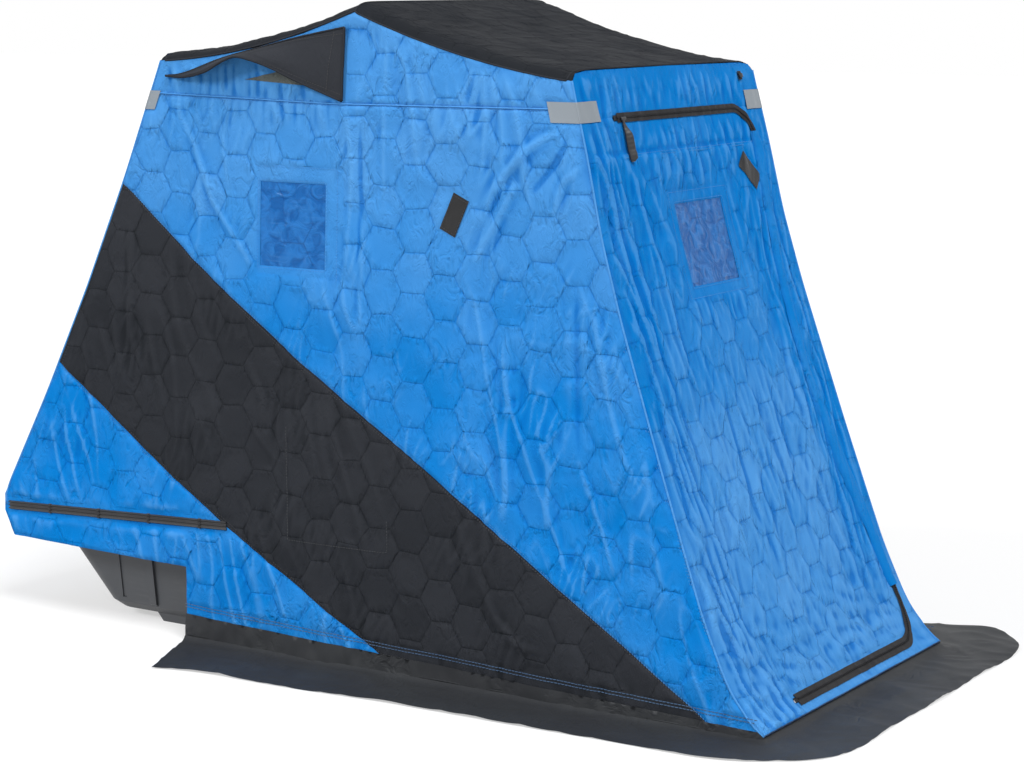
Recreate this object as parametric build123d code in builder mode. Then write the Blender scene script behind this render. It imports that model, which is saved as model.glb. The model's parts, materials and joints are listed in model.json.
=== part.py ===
"""One-person flip-over ice fishing hut: a quilted fabric shelter on a bent tube frame, over a tub sled.

Millimetres. +X points to the door, +Z up, and the sled's runners stand on Z = 0. The far side is +Y.
"""
from build123d import *
import math
import os

os.makedirs("parts", exist_ok=True)

# Fabric thicknesses
wall = 8.0
skirt_cloth = 3.0
pane = 3.0
patch = 2.0

# Side walls: half the width at the ground, and how much it shrinks for each millimetre of height
half_width_base = 519.0
side_lean = 0.033

# Front wall: top corner, hem, and how far the slack cloth falls in behind a straight line between them
front_top_x = 545.0
front_top_z = 1533.0
front_hem_x = 1113.0
front_hem_z = 20.0
front_slack = [(60.0, 36.0), (120.0, 60.0), (280.0, 74.0), (600.0, 70.0), (970.0, 60.0), (1160.0, 47.0),
               (1350.0, 20.0)]

# Roof: ridge over the middle bow, rear top corner, sag of the cloth between the bows, crown across the width
ridge_x = -99.0
ridge_z = 1692.0
rear_top_x = -734.0
rear_top_z = 1559.0
roof_sag_front = 21.0
roof_sag_rear = 28.0
roof_crown = 26.0
roof_round = 72.0
roof_spans = 4
crown_shoulder = 0.72
shoulder_share = 0.28
crown_dip = 2.0

# Rear wall: it comes down to the sled's rim, then hangs over it as a short valance
rim_outer_x = -1306.0
rear_knee_z = 330.0
rear_slack = 28.0
rear_spans = 4
valance_rear_x = -1270.0
valance_z = 215.0
valance_front_z = 202.0

# Seams on the walls
side_seam_z = [(rim_outer_x, 1487.0), (-173.0, 1461.0), (700.0, 1468.0)]
rear_seam_z = 1487.0
sash_top = [(-1000.0, 1345.0), (-859.0, 1229.0), (-621.0, 1037.0), (-278.0, 799.0), (168.0, 531.0),
            (620.0, 245.0), (986.0, 15.0), (1100.0, -60.0)]
sash_bottom = [(-1300.0, 895.0), (-1114.0, 741.0), (-794.0, 508.0), (-501.0, 329.0), (-187.0, 155.0),
               (26.0, 44.0), (120.0, -6.0)]

# The skirt of bare cloth starts at a notch in the side walls
notch_x = -642.0
notch_hem_z = 64.0
skirt_lap = 10.0

# Tub sled
rim_rear_z = 312.0
rim_slope = 0.04
rim_front_x = 60.0
rim_width = 50.0
rim_thickness = 5.0
rim_lip = 26.0
rim_corner = 60.0
lip_clearance = 3.0
tub_wall = 6.0
tub_rear_x = -1030.0
tub_front_x = -130.0
tub_half_width = 415.0
tub_chine_z = 44.0
tub_floor_z = 24.0
tub_chamfer = 20.0
tub_corner = 70.0
runner_rear_x = -850.0
runner_front_x = -175.0
runner_width = 56.0
runner_spacing = 365.0
groove_width = 14.0
groove_depth = 3.0
groove_x = [-945.0, -620.0, -300.0]
rib_width = 24.0
rib_depth = 8.0
rib_x = [-838.0, -460.0, -140.0]
seat_gap = 0.3

# Bow frame: four bent tubes that fan out from a bracket on each side of the sled
tube = 22.0
tube_wall = 2.0
bow_bend = 62.0
bow_end = 20.0
pivot_x = -60.0
pivot_pitch = 58.0
pivot_rise = 40.0
pin = 8.0
pin_play = 0.2
plate_play = 0.9
pin_head = 14.0
pin_head_height = 4.0
bracket_thickness = 5.0
bracket_height = 66.0
bracket_foot = 32.0
bracket_margin = 30.0
bracket_corner = 14.0
leg_inset = 20.0
ground_bar_gap = 2.0

# Door in the front wall, drawn as it is seen from the front: Y across, Z up
door_hinge_top_y = -322.0
door_hinge_bottom_y = -292.0
door_top_z = 1440.0
door_bottom_z = 46.0
door_upper_y = 412.0
door_waist_y = 358.0
door_waist_z = 740.0
door_lower_y = 470.0
door_lower_z = 290.0
door_top_round = 110.0
door_waist_round = 400.0
door_lower_round = 150.0
door_bottom_round = 110.0
door_gap = 5.0
zip_width = 9.0
zip_cloth = 2.0
sill_right_y = -285.0
sill_left_y = 330.0

# Windows
window_low_x = -396.0
window_high_x = -185.0
window_low_z = 1036.0
window_high_z = 1255.0
front_window_low_y = -100.0
front_window_high_y = 150.0
front_window_low_z = 1013.0
front_window_high_z = 1218.0

# Vent in each side header: a triangular hood over a triangular mesh
hood_tip = (-714.0, 1520.0)
hood_top = (-127.0, 1652.0)
hood_foot = (-132.0, 1469.0)
hood_bulge = (-455.0, 1545.0)
hood_stand = 62.0
hood_cloth = 3.0
hood_mouth = 2.0
vent_tip = (-450.0, 1516.0)
vent_top = (-165.0, 1575.0)
vent_foot = (-165.0, 1500.0)

# Trim
band_height = 24.0
band_thickness = 4.0
patch_width = 50.0
patch_length = 100.0
reflector_height = 50.0
reflector_front_length = 90.0
reflector_side_length = 82.0
reflector_rear_length = 33.0
reflector_front_z = 1434.0
reflector_rear_z = 1430.0
clip_y = 372.0
clip_width = 22.0
clip_depth = 6.0
clip_height = 22.0
pull_width = 16.0
pull_length = 104.0
pull_y = -282.0
pull_cloth = 3.0
pull_drop = 2.0
hook_patch_centre = (214.0, 1198.0)
hook_patch_turn = 24.0
door_patch_centre = (326.0, 1276.0)
door_patch_turn = 48.0

# Reach of the cutting bodies, well past everything
far_out = 2500.0
above_all = 2000.0
end_cut_reach = 100.0
roof_overrun = 60.0
crown_overrun = 20.0
slab_low_z = -50.0
slab_high_z = 1900.0
band_overrun = 50.0
sash_band_point = 3
meeting_steps = 12


def between(table, at):
    """Read a table of (position, value) pairs at any position, along straight lines between its entries."""
    for (a, low), (b, high) in zip(table, table[1:]):
        if at <= b:
            return low + (high - low) * (at - a) / (b - a)
    return table[-1][1]


def half_width(z):
    """Half the shelter's outer width at a height."""
    return half_width_base - side_lean * z


def front_line_x(z):
    """The straight line from the front top corner to the front hem."""
    share = (z - front_hem_z) / (front_top_z - front_hem_z)
    return front_hem_x + (front_top_x - front_hem_x) * share


front_table = [(0.0, 0.0), (front_hem_z, 0.0)] + front_slack + [(front_top_z, 0.0)]
front_crown_z = front_top_z + roof_crown
front_heights = [z for z, recess in front_table] + [front_crown_z + crown_overrun]


def front_x(z):
    """The front wall's outer face: upright below the hem, slack cloth above it."""
    if z <= front_hem_z:
        return front_hem_x
    if z >= front_top_z:
        z_low, recess = front_slack[-1]
        x_low = front_line_x(z_low) - recess
        return front_top_x + (front_top_x - x_low) * (z - front_top_z) / (front_top_z - z_low)
    return front_line_x(z) - between(front_table, z)


def slack_line(start, end, sag_x, sag_z, spans):
    """Points along a line whose middle hangs off it by a given amount."""
    points = []
    for step in range(spans + 1):
        share = step / spans
        hang = 4.0 * share * (1.0 - share)
        x = start[0] + (end[0] - start[0]) * share + sag_x * hang
        z = start[1] + (end[1] - start[1]) * share + sag_z * hang
        points.append((x, z))
    return points


rear_line = slack_line((rim_outer_x, rear_knee_z), (rear_top_x, rear_top_z), rear_slack, 0.0, rear_spans)
rear_table = [(0.0, rim_outer_x)] + [(z, x) for x, z in rear_line]
rear_crown_z = rear_top_z + roof_crown
rear_heights = [0.0] + [z for x, z in rear_line] + [rear_crown_z + crown_overrun]


def rear_x(z):
    """The rear wall's outer face: upright at the sled's rim, leaning forward above it."""
    if z >= rear_top_z:
        (z_a, x_a), (z_b, x_b) = rear_table[-2:]
        return x_b + (x_b - x_a) * (z - z_b) / (z_b - z_a)
    return between(rear_table, z)


roof_front_line = slack_line((ridge_x, ridge_z), (front_top_x, front_top_z), 0.0, -roof_sag_front, roof_spans)
roof_rear_line = slack_line((rear_top_x, rear_top_z), (ridge_x, ridge_z), 0.0, -roof_sag_rear, roof_spans)
roof_line = roof_rear_line + roof_front_line[1:]


def past(a, b, reach):
    """The point that lies a given length past b, on the line from a."""
    length = math.hypot(b[0] - a[0], b[1] - a[1])
    return (b[0] + (b[0] - a[0]) * reach / length, b[1] + (b[1] - a[1]) * reach / length)


def rim_z(x):
    """Height of the sled rim's top face, which rises a little towards the front."""
    return rim_rear_z + rim_slope * (x - rim_outer_x)


def band_z(x):
    """Middle of the edge band that holds the cloth to the sled's rim."""
    return rim_z(x) - rim_lip / 2


def prism(plane, points, mode=Mode.ADD, reach=far_out, both=True):
    """A straight-sided outline carried through the hut along its plane's normal."""
    with BuildSketch(plane) as outline:
        with BuildLine():
            Polyline(*points, close=True)
        make_face()
    extrude(outline.sketch, amount=reach, both=both, mode=mode)


def skin_band(line_x, heights, outer, inner, mode=Mode.ADD):
    """A wall's thickness between two offsets from its outer face, carried right across the hut."""
    outer_face = [(line_x(z) + outer, z) for z in heights]
    inner_face = [(line_x(z) - inner, z) for z in reversed(heights)]
    prism(Plane.XZ, outer_face + inner_face, mode)


def side_slab(side, outer, inner):
    """A slab along one leaning side wall, between two offsets from its outer face."""
    low_half = half_width(slab_low_z)
    high_half = half_width(slab_high_z)
    prism(Plane.YZ, [(side * (low_half + outer), slab_low_z), (side * (high_half + outer), slab_high_z),
                     (side * (high_half - inner), slab_high_z), (side * (low_half - inner), slab_low_z)])


def keep_xz(points):
    """Keep only what lies inside an outline seen from the side."""
    prism(Plane.XZ, points, Mode.INTERSECT)


def cut_xz(points):
    """Cut an outline seen from the side right through."""
    prism(Plane.XZ, points, Mode.SUBTRACT)


def keep_yz(points):
    """Keep only what lies inside an outline seen from the front."""
    prism(Plane.YZ, points, Mode.INTERSECT)


def rectangle_points(low_x, low_z, high_x, high_z):
    """The four corners of a rectangle."""
    return [(low_x, low_z), (high_x, low_z), (high_x, high_z), (low_x, high_z)]


def turned_rectangle(centre, width, length, turn):
    """Corners of a rectangle turned about its centre."""
    corners = []
    for across, along in ((-1, -1), (1, -1), (1, 1), (-1, 1)):
        u = across * width / 2
        v = along * length / 2
        corners.append((centre[0] + u * math.cos(turn) - v * math.sin(turn),
                        centre[1] + u * math.sin(turn) + v * math.cos(turn)))
    return corners


def crown_outline(z_edge, drop, half):
    """Arch of the roof across the hut, lowered by a thickness: rounded corners and a slightly crowned top."""
    top = z_edge + roof_crown - drop
    shoulder = z_edge + crown_shoulder * (roof_crown - drop)
    near = [(-half, z_edge), (-half + shoulder_share * roof_round, shoulder),
            (-half + roof_round, top - crown_dip)]
    return near + [(0.0, top)] + [(-y, z) for y, z in reversed(near)]


def export(part, label):
    """Name a finished piece and write it."""
    part.part.label = label
    export_step(part.part, f"parts/{label}.step")


# Side walls. Their outline, seen from the side, lies inside the front and rear walls and under the roof.
def meet_roof(face_x, start_z):
    """Where a wall's inner face comes up to the roof's edge."""
    z = start_z
    for step in range(meeting_steps):
        z = between(roof_line, face_x(z))
    return (face_x(z), z)


def front_inner_x(z):
    """The front wall's inner face."""
    return front_x(z) - wall


def rear_inner_x(z):
    """The rear wall's inner face: this wall's thickness lies towards +X."""
    return rear_x(z) + wall


lip_low_z = rim_z(rim_outer_x) - rim_lip - lip_clearance
side_outline = [(valance_rear_x + wall, valance_z), (rim_outer_x + wall, lip_low_z)]
side_outline += [(x + wall, z) for x, z in rear_line]
side_outline += [meet_roof(rear_inner_x, rear_top_z)] + roof_line[1:-1]
side_outline += [meet_roof(front_inner_x, front_top_z)]
side_outline += [(front_inner_x(z), z) for z in reversed(front_heights[1:-1])]
side_outline += [(notch_x, notch_hem_z), (notch_x, valance_front_z)]

seam_points = [(-far_out, side_seam_z[0][1])] + side_seam_z + [(far_out, side_seam_z[-1][1])]
header_zone = seam_points + [(far_out, above_all), (-far_out, above_all)]
panel_zone = seam_points + list(reversed(sash_top))
sash_zone = sash_top + list(reversed(sash_bottom))
band_start_x = rim_outer_x - band_overrun
band_stop = sash_bottom[sash_band_point]
lower_zone = sash_bottom[:sash_band_point + 1] + [(band_start_x, band_z(band_start_x))]
valance_zone = [(band_start_x, band_z(band_start_x))] + sash_bottom[sash_band_point:]
valance_zone += [(band_start_x, sash_bottom[-1][1])]

window_zone = rectangle_points(window_low_x, window_low_z, window_high_x, window_high_z)
vent_zone = [vent_tip, vent_foot, vent_top]


def make_hood(side, name):
    """Vent hood: a triangle of cloth sewn along its top and front edges, its lower edge propped out."""
    def on_wall(point, stand):
        return Vector(point[0], side * (half_width(point[1]) + stand), point[1])

    wall_plane = Plane(origin=on_wall(hood_tip, 0.0), x_dir=(1, 0, 0), z_dir=(0, side, side_lean))
    mouth = (-hood_cloth * hood_mouth, -hood_cloth * 2 * hood_mouth)

    def pyramid(shift, stand, mode):
        corners = [(x + shift[0], z + shift[1]) for x, z in (hood_tip, hood_top, hood_foot)]
        flat = [wall_plane.to_local_coords(on_wall(corner, 0.0)) for corner in corners]
        with BuildSketch(wall_plane) as base:
            with BuildLine():
                Polyline(*[(point.X, point.Y) for point in flat], close=True)
            make_face()
        peak = on_wall((hood_bulge[0] + shift[0], hood_bulge[1] + shift[1]), stand)
        loft(sections=[base.sketch.faces()[0], Vertex(peak.X, peak.Y, peak.Z)], ruled=True, mode=mode)

    with BuildPart() as hood:
        pyramid((0.0, 0.0), hood_stand, Mode.ADD)
        pyramid(mouth, hood_stand, Mode.SUBTRACT)
    export(hood, f"vent_hood_{name}")


def make_side(side, name):
    """All the pieces of one side wall."""
    zones = {"header": header_zone, "panel": panel_zone, "sash": sash_zone, "lower_panel": lower_zone,
             "valance": valance_zone}
    for piece_name, zone in zones.items():
        with BuildPart() as piece:
            side_slab(side, 0.0, wall)
            keep_xz(side_outline)
            keep_xz(zone)
            if piece_name == "header":
                cut_xz(vent_zone)
            if piece_name == "panel":
                cut_xz(window_zone)
        export(piece, f"side_{piece_name}_{name}")
    for piece_name, zone in (("side_window", window_zone), ("vent_mesh", vent_zone)):
        with BuildPart() as sheet:
            side_slab(side, -(wall - pane) / 2, (wall + pane) / 2)
            keep_xz(zone)
        export(sheet, f"{piece_name}_{name}")
    make_hood(side, name)


for side, name in ((1, "left"), (-1, "right")):
    make_side(side, name)

with BuildPart() as side_hook_patch:
    side_slab(-1, patch, 0.0)
    keep_xz(turned_rectangle(hook_patch_centre, patch_width, patch_length, math.radians(-hook_patch_turn)))
export(side_hook_patch, "side_hook_patch")


# Roof: two cloths that meet over the ridge
def roof_cloth(line, end_cut, label):
    """Arched strips from bow to bow, cut off along the wall that they meet."""
    with BuildPart() as roof:
        for strip in zip(line, line[1:]):
            for x, z in strip:
                half = half_width(z)
                outer = crown_outline(z, 0.0, half)
                inner = crown_outline(z, wall, half - wall)
                with BuildSketch(Plane.YZ.offset(x)):
                    with BuildLine():
                        Polyline(*outer, *reversed(inner), close=True)
                    make_face()
            loft(ruled=True)
        prism(Plane.XZ, end_cut, Mode.SUBTRACT)
    export(roof, label)


roof_line_long = [past(roof_line[1], roof_line[0], roof_overrun)] + roof_line[1:-1]
roof_line_long += [past(roof_line[-2], roof_line[-1], roof_overrun)]


def beyond(face_x, top_z, reach):
    """Outline of everything past a wall's inner face, near the roof."""
    low_z = top_z - end_cut_reach
    high_z = top_z + end_cut_reach
    return [(face_x(low_z), low_z), (face_x(top_z), top_z), (face_x(high_z), high_z), (reach, above_all),
            (reach, low_z)]


roof_cloth(roof_line_long[roof_spans:], beyond(front_inner_x, front_top_z, far_out), "roof_front")
roof_cloth(roof_line_long[:roof_spans + 1], beyond(rear_inner_x, rear_top_z, -far_out), "roof_rear")


# Front and rear walls
def door_prism(grow, mode):
    """The door's outline, made larger or smaller by an even margin, but seated along its hinge line."""
    corners = [((door_upper_y, door_top_z), door_top_round), ((door_waist_y, door_waist_z), door_waist_round),
               ((door_lower_y, door_lower_z), door_lower_round),
               ((door_lower_y, door_bottom_z), door_bottom_round)]
    seat = grow - math.copysign(seat_gap / 2, grow)
    with BuildSketch(Plane.YZ) as outline:
        with BuildLine():
            Polyline((door_hinge_bottom_y + seat, door_bottom_z), (door_hinge_top_y + seat, door_top_z),
                     *[corner for corner, radius in corners], close=True)
        make_face()
        for corner, radius in corners:
            nearest = outline.vertices().sort_by_distance((corner[0], corner[1], 0.0))[0]
            fillet(nearest, radius)
        offset(amount=grow, kind=Kind.INTERSECTION, mode=Mode.REPLACE)
    extrude(outline.sketch, amount=far_out, both=True, mode=mode)


def wall_piece(label, line_x, heights, outer, inner, zone, door=None):
    """One piece of the front or rear wall, or of the trim on it, cut to an outline seen from the front."""
    with BuildPart() as piece:
        skin_band(line_x, heights, outer, inner)
        keep_yz(zone)
        if door is not None:
            door_prism(door, Mode.SUBTRACT)
    export(piece, label)


def left_edge(z):
    """A point on the far side wall's outer face, seen from the front."""
    return (half_width(z), z)


def right_edge(z):
    """The same point on the near side."""
    return (-half_width(z), z)


half_gap = door_gap / 2
strip_top_z = door_top_z + half_gap
strip_right_zone = [right_edge(front_hem_z), (sill_right_y, front_hem_z), (sill_right_y, strip_top_z),
                    right_edge(strip_top_z)]
strip_left_zone = [(sill_left_y, front_hem_z), left_edge(front_hem_z), left_edge(strip_top_z),
                   (door_upper_y - door_top_round, strip_top_z), (sill_left_y, door_waist_z)]
sill_zone = rectangle_points(sill_right_y, front_hem_z, sill_left_y, door_bottom_z)
front_arch = crown_outline(front_top_z, 0.0, half_width(front_top_z))
front_header_zone = [right_edge(strip_top_z)] + front_arch + [left_edge(strip_top_z)]

wall_piece("front_header", front_x, front_heights, 0.0, wall, front_header_zone)
wall_piece("front_strip_left", front_x, front_heights, 0.0, wall, strip_left_zone, half_gap)
wall_piece("front_strip_right", front_x, front_heights, 0.0, wall, strip_right_zone, half_gap)
wall_piece("front_sill", front_x, front_heights, 0.0, wall, sill_zone, half_gap)


rear_arch = crown_outline(rear_top_z, 0.0, half_width(rear_top_z))
rear_header_zone = [right_edge(rear_seam_z)] + rear_arch + [left_edge(rear_seam_z)]
rear_low = band_z(rim_outer_x)
rear_wall_zone = [right_edge(rear_low), left_edge(rear_low), left_edge(rear_seam_z), right_edge(rear_seam_z)]
wall_piece("rear_header", rear_inner_x, rear_heights, 0.0, wall, rear_header_zone)
wall_piece("rear_wall", rear_inner_x, rear_heights, 0.0, wall, rear_wall_zone)

with BuildPart() as rear_valance:
    prism(Plane.XZ, [(rim_outer_x, rear_low), (rim_outer_x + wall, rear_low), (rim_outer_x + wall, lip_low_z),
                     (valance_rear_x + wall, valance_z), (valance_rear_x, valance_z),
                     (rim_outer_x, lip_low_z)])
    keep_yz([right_edge(0.0), left_edge(0.0), left_edge(rear_low), right_edge(rear_low)])
export(rear_valance, "rear_valance")

# Door: it swings on the straight line between the two ends of its zip
front_window_zone = rectangle_points(front_window_low_y, front_window_low_z,
                                     front_window_high_y, front_window_high_z)
with BuildPart() as door_panel:
    skin_band(front_x, front_heights, 0.0, wall)
    door_prism(-half_gap, Mode.INTERSECT)
    prism(Plane.YZ, front_window_zone, Mode.SUBTRACT)
export(door_panel, "door_panel")

wall_piece("door_window", front_x, front_heights, -(wall - pane) / 2, (wall + pane) / 2, front_window_zone)

tape_start = half_gap + zip_width
tape_zone = [(door_hinge_bottom_y + tape_start, 0.0), (far_out, 0.0), (far_out, above_all),
             (door_hinge_top_y + tape_start, above_all)]
for label, large, small in (("door_zip_tape", -half_gap, -half_gap - zip_width),
                            ("frame_zip_tape", half_gap + zip_width, half_gap)):
    with BuildPart() as tape:
        skin_band(front_x, front_heights, zip_cloth, 0.0)
        door_prism(large, Mode.INTERSECT)
        door_prism(small, Mode.SUBTRACT)
        keep_yz(tape_zone)
    export(tape, label)

wall_piece("door_hook_patch", front_x, front_heights, patch, 0.0,
           turned_rectangle(door_patch_centre, patch_width, patch_length, math.radians(door_patch_turn)))
pull_top_z = door_top_z - half_gap - pull_drop
wall_piece("zip_pull", front_x, front_heights, zip_cloth + pull_cloth, -zip_cloth,
           rectangle_points(pull_y - pull_width / 2, pull_top_z - pull_length,
                            pull_y + pull_width / 2, pull_top_z))

# Reflectors wrap round the four upper corners: a leg on the end wall and a leg on the side wall
with BuildPart() as corner_reflectors:
    for line_x, heights, way, low_z, side_length in (
            (front_x, front_heights, 1, reflector_front_z, reflector_side_length),
            (rear_x, rear_heights, -1, reflector_rear_z, reflector_rear_length)):
        high_z = low_z + reflector_height
        for side in (1, -1):
            inner_y = side * (half_width(low_z) - reflector_front_length)
            with BuildPart(mode=Mode.PRIVATE) as end_leg:
                skin_band(line_x, heights, way * patch, 0.0)
                keep_yz([(inner_y, low_z), (side * (half_width(low_z) + patch), low_z),
                         (side * (half_width(high_z) + patch), high_z), (inner_y, high_z)])
            with BuildPart(mode=Mode.PRIVATE) as side_leg:
                side_slab(side, patch, 0.0)
                low_x = line_x(low_z)
                high_x = line_x(high_z)
                keep_xz([(low_x + way * patch, low_z), (low_x - way * side_length, low_z),
                         (high_x - way * side_length, high_z), (high_x + way * patch, high_z)])
            add([end_leg.part, side_leg.part])
export(corner_reflectors, "corner_reflectors")

wall_piece("roof_clip", front_x, front_heights, clip_depth, 0.0,
           rectangle_points(clip_y - clip_width / 2, front_top_z - clip_height,
                            clip_y + clip_width / 2, front_top_z))

# Edge band: a ridged strip that clamps the cloth to the sled's rim, round the rear and along both sides
band_low = band_z(rim_outer_x) - band_height
band_high = band_z(band_stop[0]) + band_height
with BuildPart() as edge_band:
    band_rear_x = rim_outer_x - band_thickness
    prism(Plane.XZ, [(band_rear_x, band_z(band_rear_x) - band_height / 2),
                     (band_stop[0], band_z(band_stop[0]) - band_height / 2),
                     (band_stop[0], band_z(band_stop[0]) + band_height / 2),
                     (band_rear_x, band_z(band_rear_x) + band_height / 2)])
    low_half = half_width(band_low) + band_thickness
    high_half = half_width(band_high) + band_thickness
    keep_yz([(-low_half, band_low), (low_half, band_low), (high_half, band_high), (-high_half, band_high)])
    prism(Plane.YZ.offset(rim_outer_x), [right_edge(band_low), left_edge(band_low), left_edge(band_high),
                                         right_edge(band_high)], Mode.SUBTRACT, both=False)
export(edge_band, "edge_band")

# Skirt: bare cloth sewn over the hem, which drops to the ice and lies flat on it
ridge_hem_z = front_hem_z + skirt_lap
mitre_inner = (front_hem_x, half_width_base)
skirt_edges = {
    "left": [(-595.0, 645.0), (-530.0, 790.0), (-440.0, 764.0), (-164.0, 745.0), (91.0, 722.0),
             (552.0, 704.0), (860.0, 700.0), (1110.0, 790.0), (1164.0, 790.0)],
    "right": [(-595.0, -645.0), (-530.0, -790.0), (-440.0, -764.0), (-164.0, -745.0), (91.0, -722.0),
              (552.0, -704.0), (860.0, -690.0), (1094.0, -672.0), (1190.0, -615.0)],
}
front_edge = [(1281.0, -528.0), (1305.0, -233.0), (1310.0, 39.0), (1305.0, 359.0), (1290.0, 640.0)]


def skirt_hem_z(x):
    """Top of the skirt, a lap above the hem of the side wall."""
    share = (x - notch_x) / (front_hem_x - notch_x)
    return notch_hem_z + (front_hem_z - notch_hem_z) * share + skirt_lap


for side, name in ((1, "left"), (-1, "right")):
    with BuildPart() as skirt:
        side_slab(side, skirt_cloth, 0.0)
        keep_xz([(notch_x, 0.0), (front_hem_x, 0.0), (front_hem_x, front_hem_z),
                 (front_x(ridge_hem_z), ridge_hem_z), (notch_x, skirt_hem_z(notch_x))])
        with BuildSketch(Plane.XY) as flat:
            with BuildLine():
                edge = skirt_edges[name]
                Polyline((front_hem_x, side * half_width_base), (notch_x, side * half_width_base), *edge[:2])
                Spline(*edge[1:])
                Line(edge[-1], (front_hem_x, side * half_width_base))
            make_face()
        extrude(flat.sketch, amount=skirt_cloth)
    export(skirt, f"skirt_{name}")

with BuildPart() as skirt_front:
    skin_band(front_x, front_heights, skirt_cloth, 0.0)
    keep_yz([(-half_width_base, 0.0), (half_width_base, 0.0), (half_width_base, ridge_hem_z),
             (-half_width_base, ridge_hem_z)])
    with BuildSketch(Plane.XY) as flat:
        with BuildLine():
            Polyline(skirt_edges["left"][-1], (front_hem_x, half_width_base), (front_hem_x, -half_width_base),
                     skirt_edges["right"][-1])
            Spline(skirt_edges["right"][-1], *front_edge, skirt_edges["left"][-1])
        make_face()
    extrude(flat.sketch, amount=skirt_cloth)
export(skirt_front, "skirt_front")

# Tub sled
rim_half = half_width(rim_z(rim_front_x)) - wall - seat_gap
rim_back_x = rim_outer_x + wall + seat_gap
rim_stretch = math.hypot(1.0, rim_slope)
rim_mid_x = (rim_back_x + rim_front_x) / 2
rim_length = (rim_front_x - rim_back_x) * rim_stretch
rim_plane = Plane(origin=(rim_mid_x, 0, rim_z(rim_mid_x)), x_dir=(1, 0, rim_slope),
                  z_dir=(-rim_slope, 0, 1))
tub_mid_x = (tub_rear_x + tub_front_x) / 2
tub_length = tub_front_x - tub_rear_x


def tub_body(inset, floor_z, mode):
    """The tub's outer form, or its inner form when inset by the wall: a chamfered floor under raked walls."""
    floor_half = tub_half_width - tub_chamfer
    levels = [(Plane((tub_mid_x, 0, floor_z)), tub_length - 2 * tub_chamfer, 2 * floor_half),
              (Plane((tub_mid_x, 0, tub_chine_z)), tub_length, 2 * tub_half_width),
              (rim_plane, rim_length - 2 * rim_width, 2 * (rim_half - rim_width))]
    faces = []
    for plane, length, width in levels:
        with BuildSketch(plane) as level:
            RectangleRounded(length - 2 * inset, width - 2 * inset, tub_corner)
        faces.append(level.sketch.faces()[0])
    loft(sections=faces[:2], ruled=True, mode=mode)
    loft(sections=faces[1:], ruled=True, mode=mode)


def tub_side_y(x, z):
    """The tub's outer face at one place along its side."""
    share = (z - tub_chine_z) / (rim_z(x) - tub_chine_z)
    return tub_half_width + (rim_half - rim_width - tub_half_width) * share


with BuildPart() as sled_hull:
    tub_body(0.0, tub_floor_z, Mode.ADD)
    with BuildSketch(rim_plane):
        RectangleRounded(rim_length, 2 * rim_half, rim_corner)
    extrude(amount=-rim_thickness)
    with BuildSketch(rim_plane):
        RectangleRounded(rim_length, 2 * rim_half, rim_corner)
        RectangleRounded(rim_length - 2 * rim_thickness, 2 * (rim_half - rim_thickness),
                         rim_corner - rim_thickness, mode=Mode.SUBTRACT)
    extrude(amount=-rim_lip)
    for side in (1, -1):
        for x in rib_x:
            low = tub_chine_z
            high = rim_z(x) - rim_thickness
            root = tub_wall / 2
            prism(Plane.YZ.offset(x), [(side * (tub_side_y(x, low) - root), low),
                                       (side * (tub_side_y(x, low) + rib_depth), low + rib_depth),
                                       (side * (tub_side_y(x, high) + rib_depth), high),
                                       (side * (tub_side_y(x, high) - root), high)], reach=rib_width / 2)
        for x in groove_x:
            low = tub_chine_z + groove_width
            high = rim_z(x) - rim_lip
            prism(Plane.YZ.offset(x), [(side * (tub_side_y(x, low) - groove_depth), low),
                                       (side * (tub_side_y(x, low) + rib_depth), low),
                                       (side * (tub_side_y(x, high) + rib_depth), high),
                                       (side * (tub_side_y(x, high) - groove_depth), high)], Mode.SUBTRACT,
                  reach=groove_width / 2)
    for y in (-runner_spacing, 0.0, runner_spacing):
        prism(Plane.XZ.offset(-y), [(runner_rear_x, tub_floor_z + tub_wall / 2),
                                    (runner_rear_x + tub_floor_z, 0.0), (runner_front_x - tub_floor_z, 0.0),
                                    (runner_front_x, tub_floor_z + tub_wall / 2)], reach=runner_width / 2)
    tub_body(tub_wall, tub_floor_z + tub_wall, Mode.SUBTRACT)
export(sled_hull, "sled_hull")

# Brackets: a plate with pins on each side of the rim, and a foot that is bolted to it
leg_half = rim_half - leg_inset
plate_outer = leg_half - tube / 2 - plate_play
plate_inner = plate_outer - bracket_thickness
pivots = []
for place in range(4):
    x = pivot_x + pivot_pitch * (place - 1.5)
    pivots.append((x, rim_z(x) + pivot_rise))
plate_rear_x = pivots[0][0] - bracket_margin
plate_front_x = pivots[-1][0] + bracket_margin


def bracket_outline(height, corner):
    """The bracket seen from the side, standing on the sloping rim."""
    return [(plate_rear_x, rim_z(plate_rear_x)), (plate_front_x, rim_z(plate_front_x)),
            (plate_front_x, rim_z(plate_front_x) + height - corner),
            (plate_front_x - corner, rim_z(plate_front_x) + height),
            (plate_rear_x + corner, rim_z(plate_rear_x) + height),
            (plate_rear_x, rim_z(plate_rear_x) + height - corner)]


for side, name in ((1, "left"), (-1, "right")):
    with BuildPart() as bracket:
        prism(Plane.XZ.offset(-side * plate_inner), bracket_outline(bracket_height, bracket_corner),
              reach=-side * bracket_thickness, both=False)
        prism(Plane.XZ.offset(-side * plate_inner), bracket_outline(bracket_thickness, bracket_thickness / 2),
              reach=-side * bracket_foot, both=False)
        with BuildSketch(Plane.XZ.offset(-side * plate_outer)):
            with Locations(*pivots):
                Circle(pin / 2)
        extrude(amount=-side * (tube + 2 * plate_play + pin_head_height))
        with BuildSketch(Plane.XZ.offset(-side * (plate_outer + tube + 2 * plate_play))):
            with Locations(*pivots):
                RegularPolygon(pin_head / 2, 6)
        extrude(amount=-side * pin_head_height)
    export(bracket, f"pivot_bracket_{name}")


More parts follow.
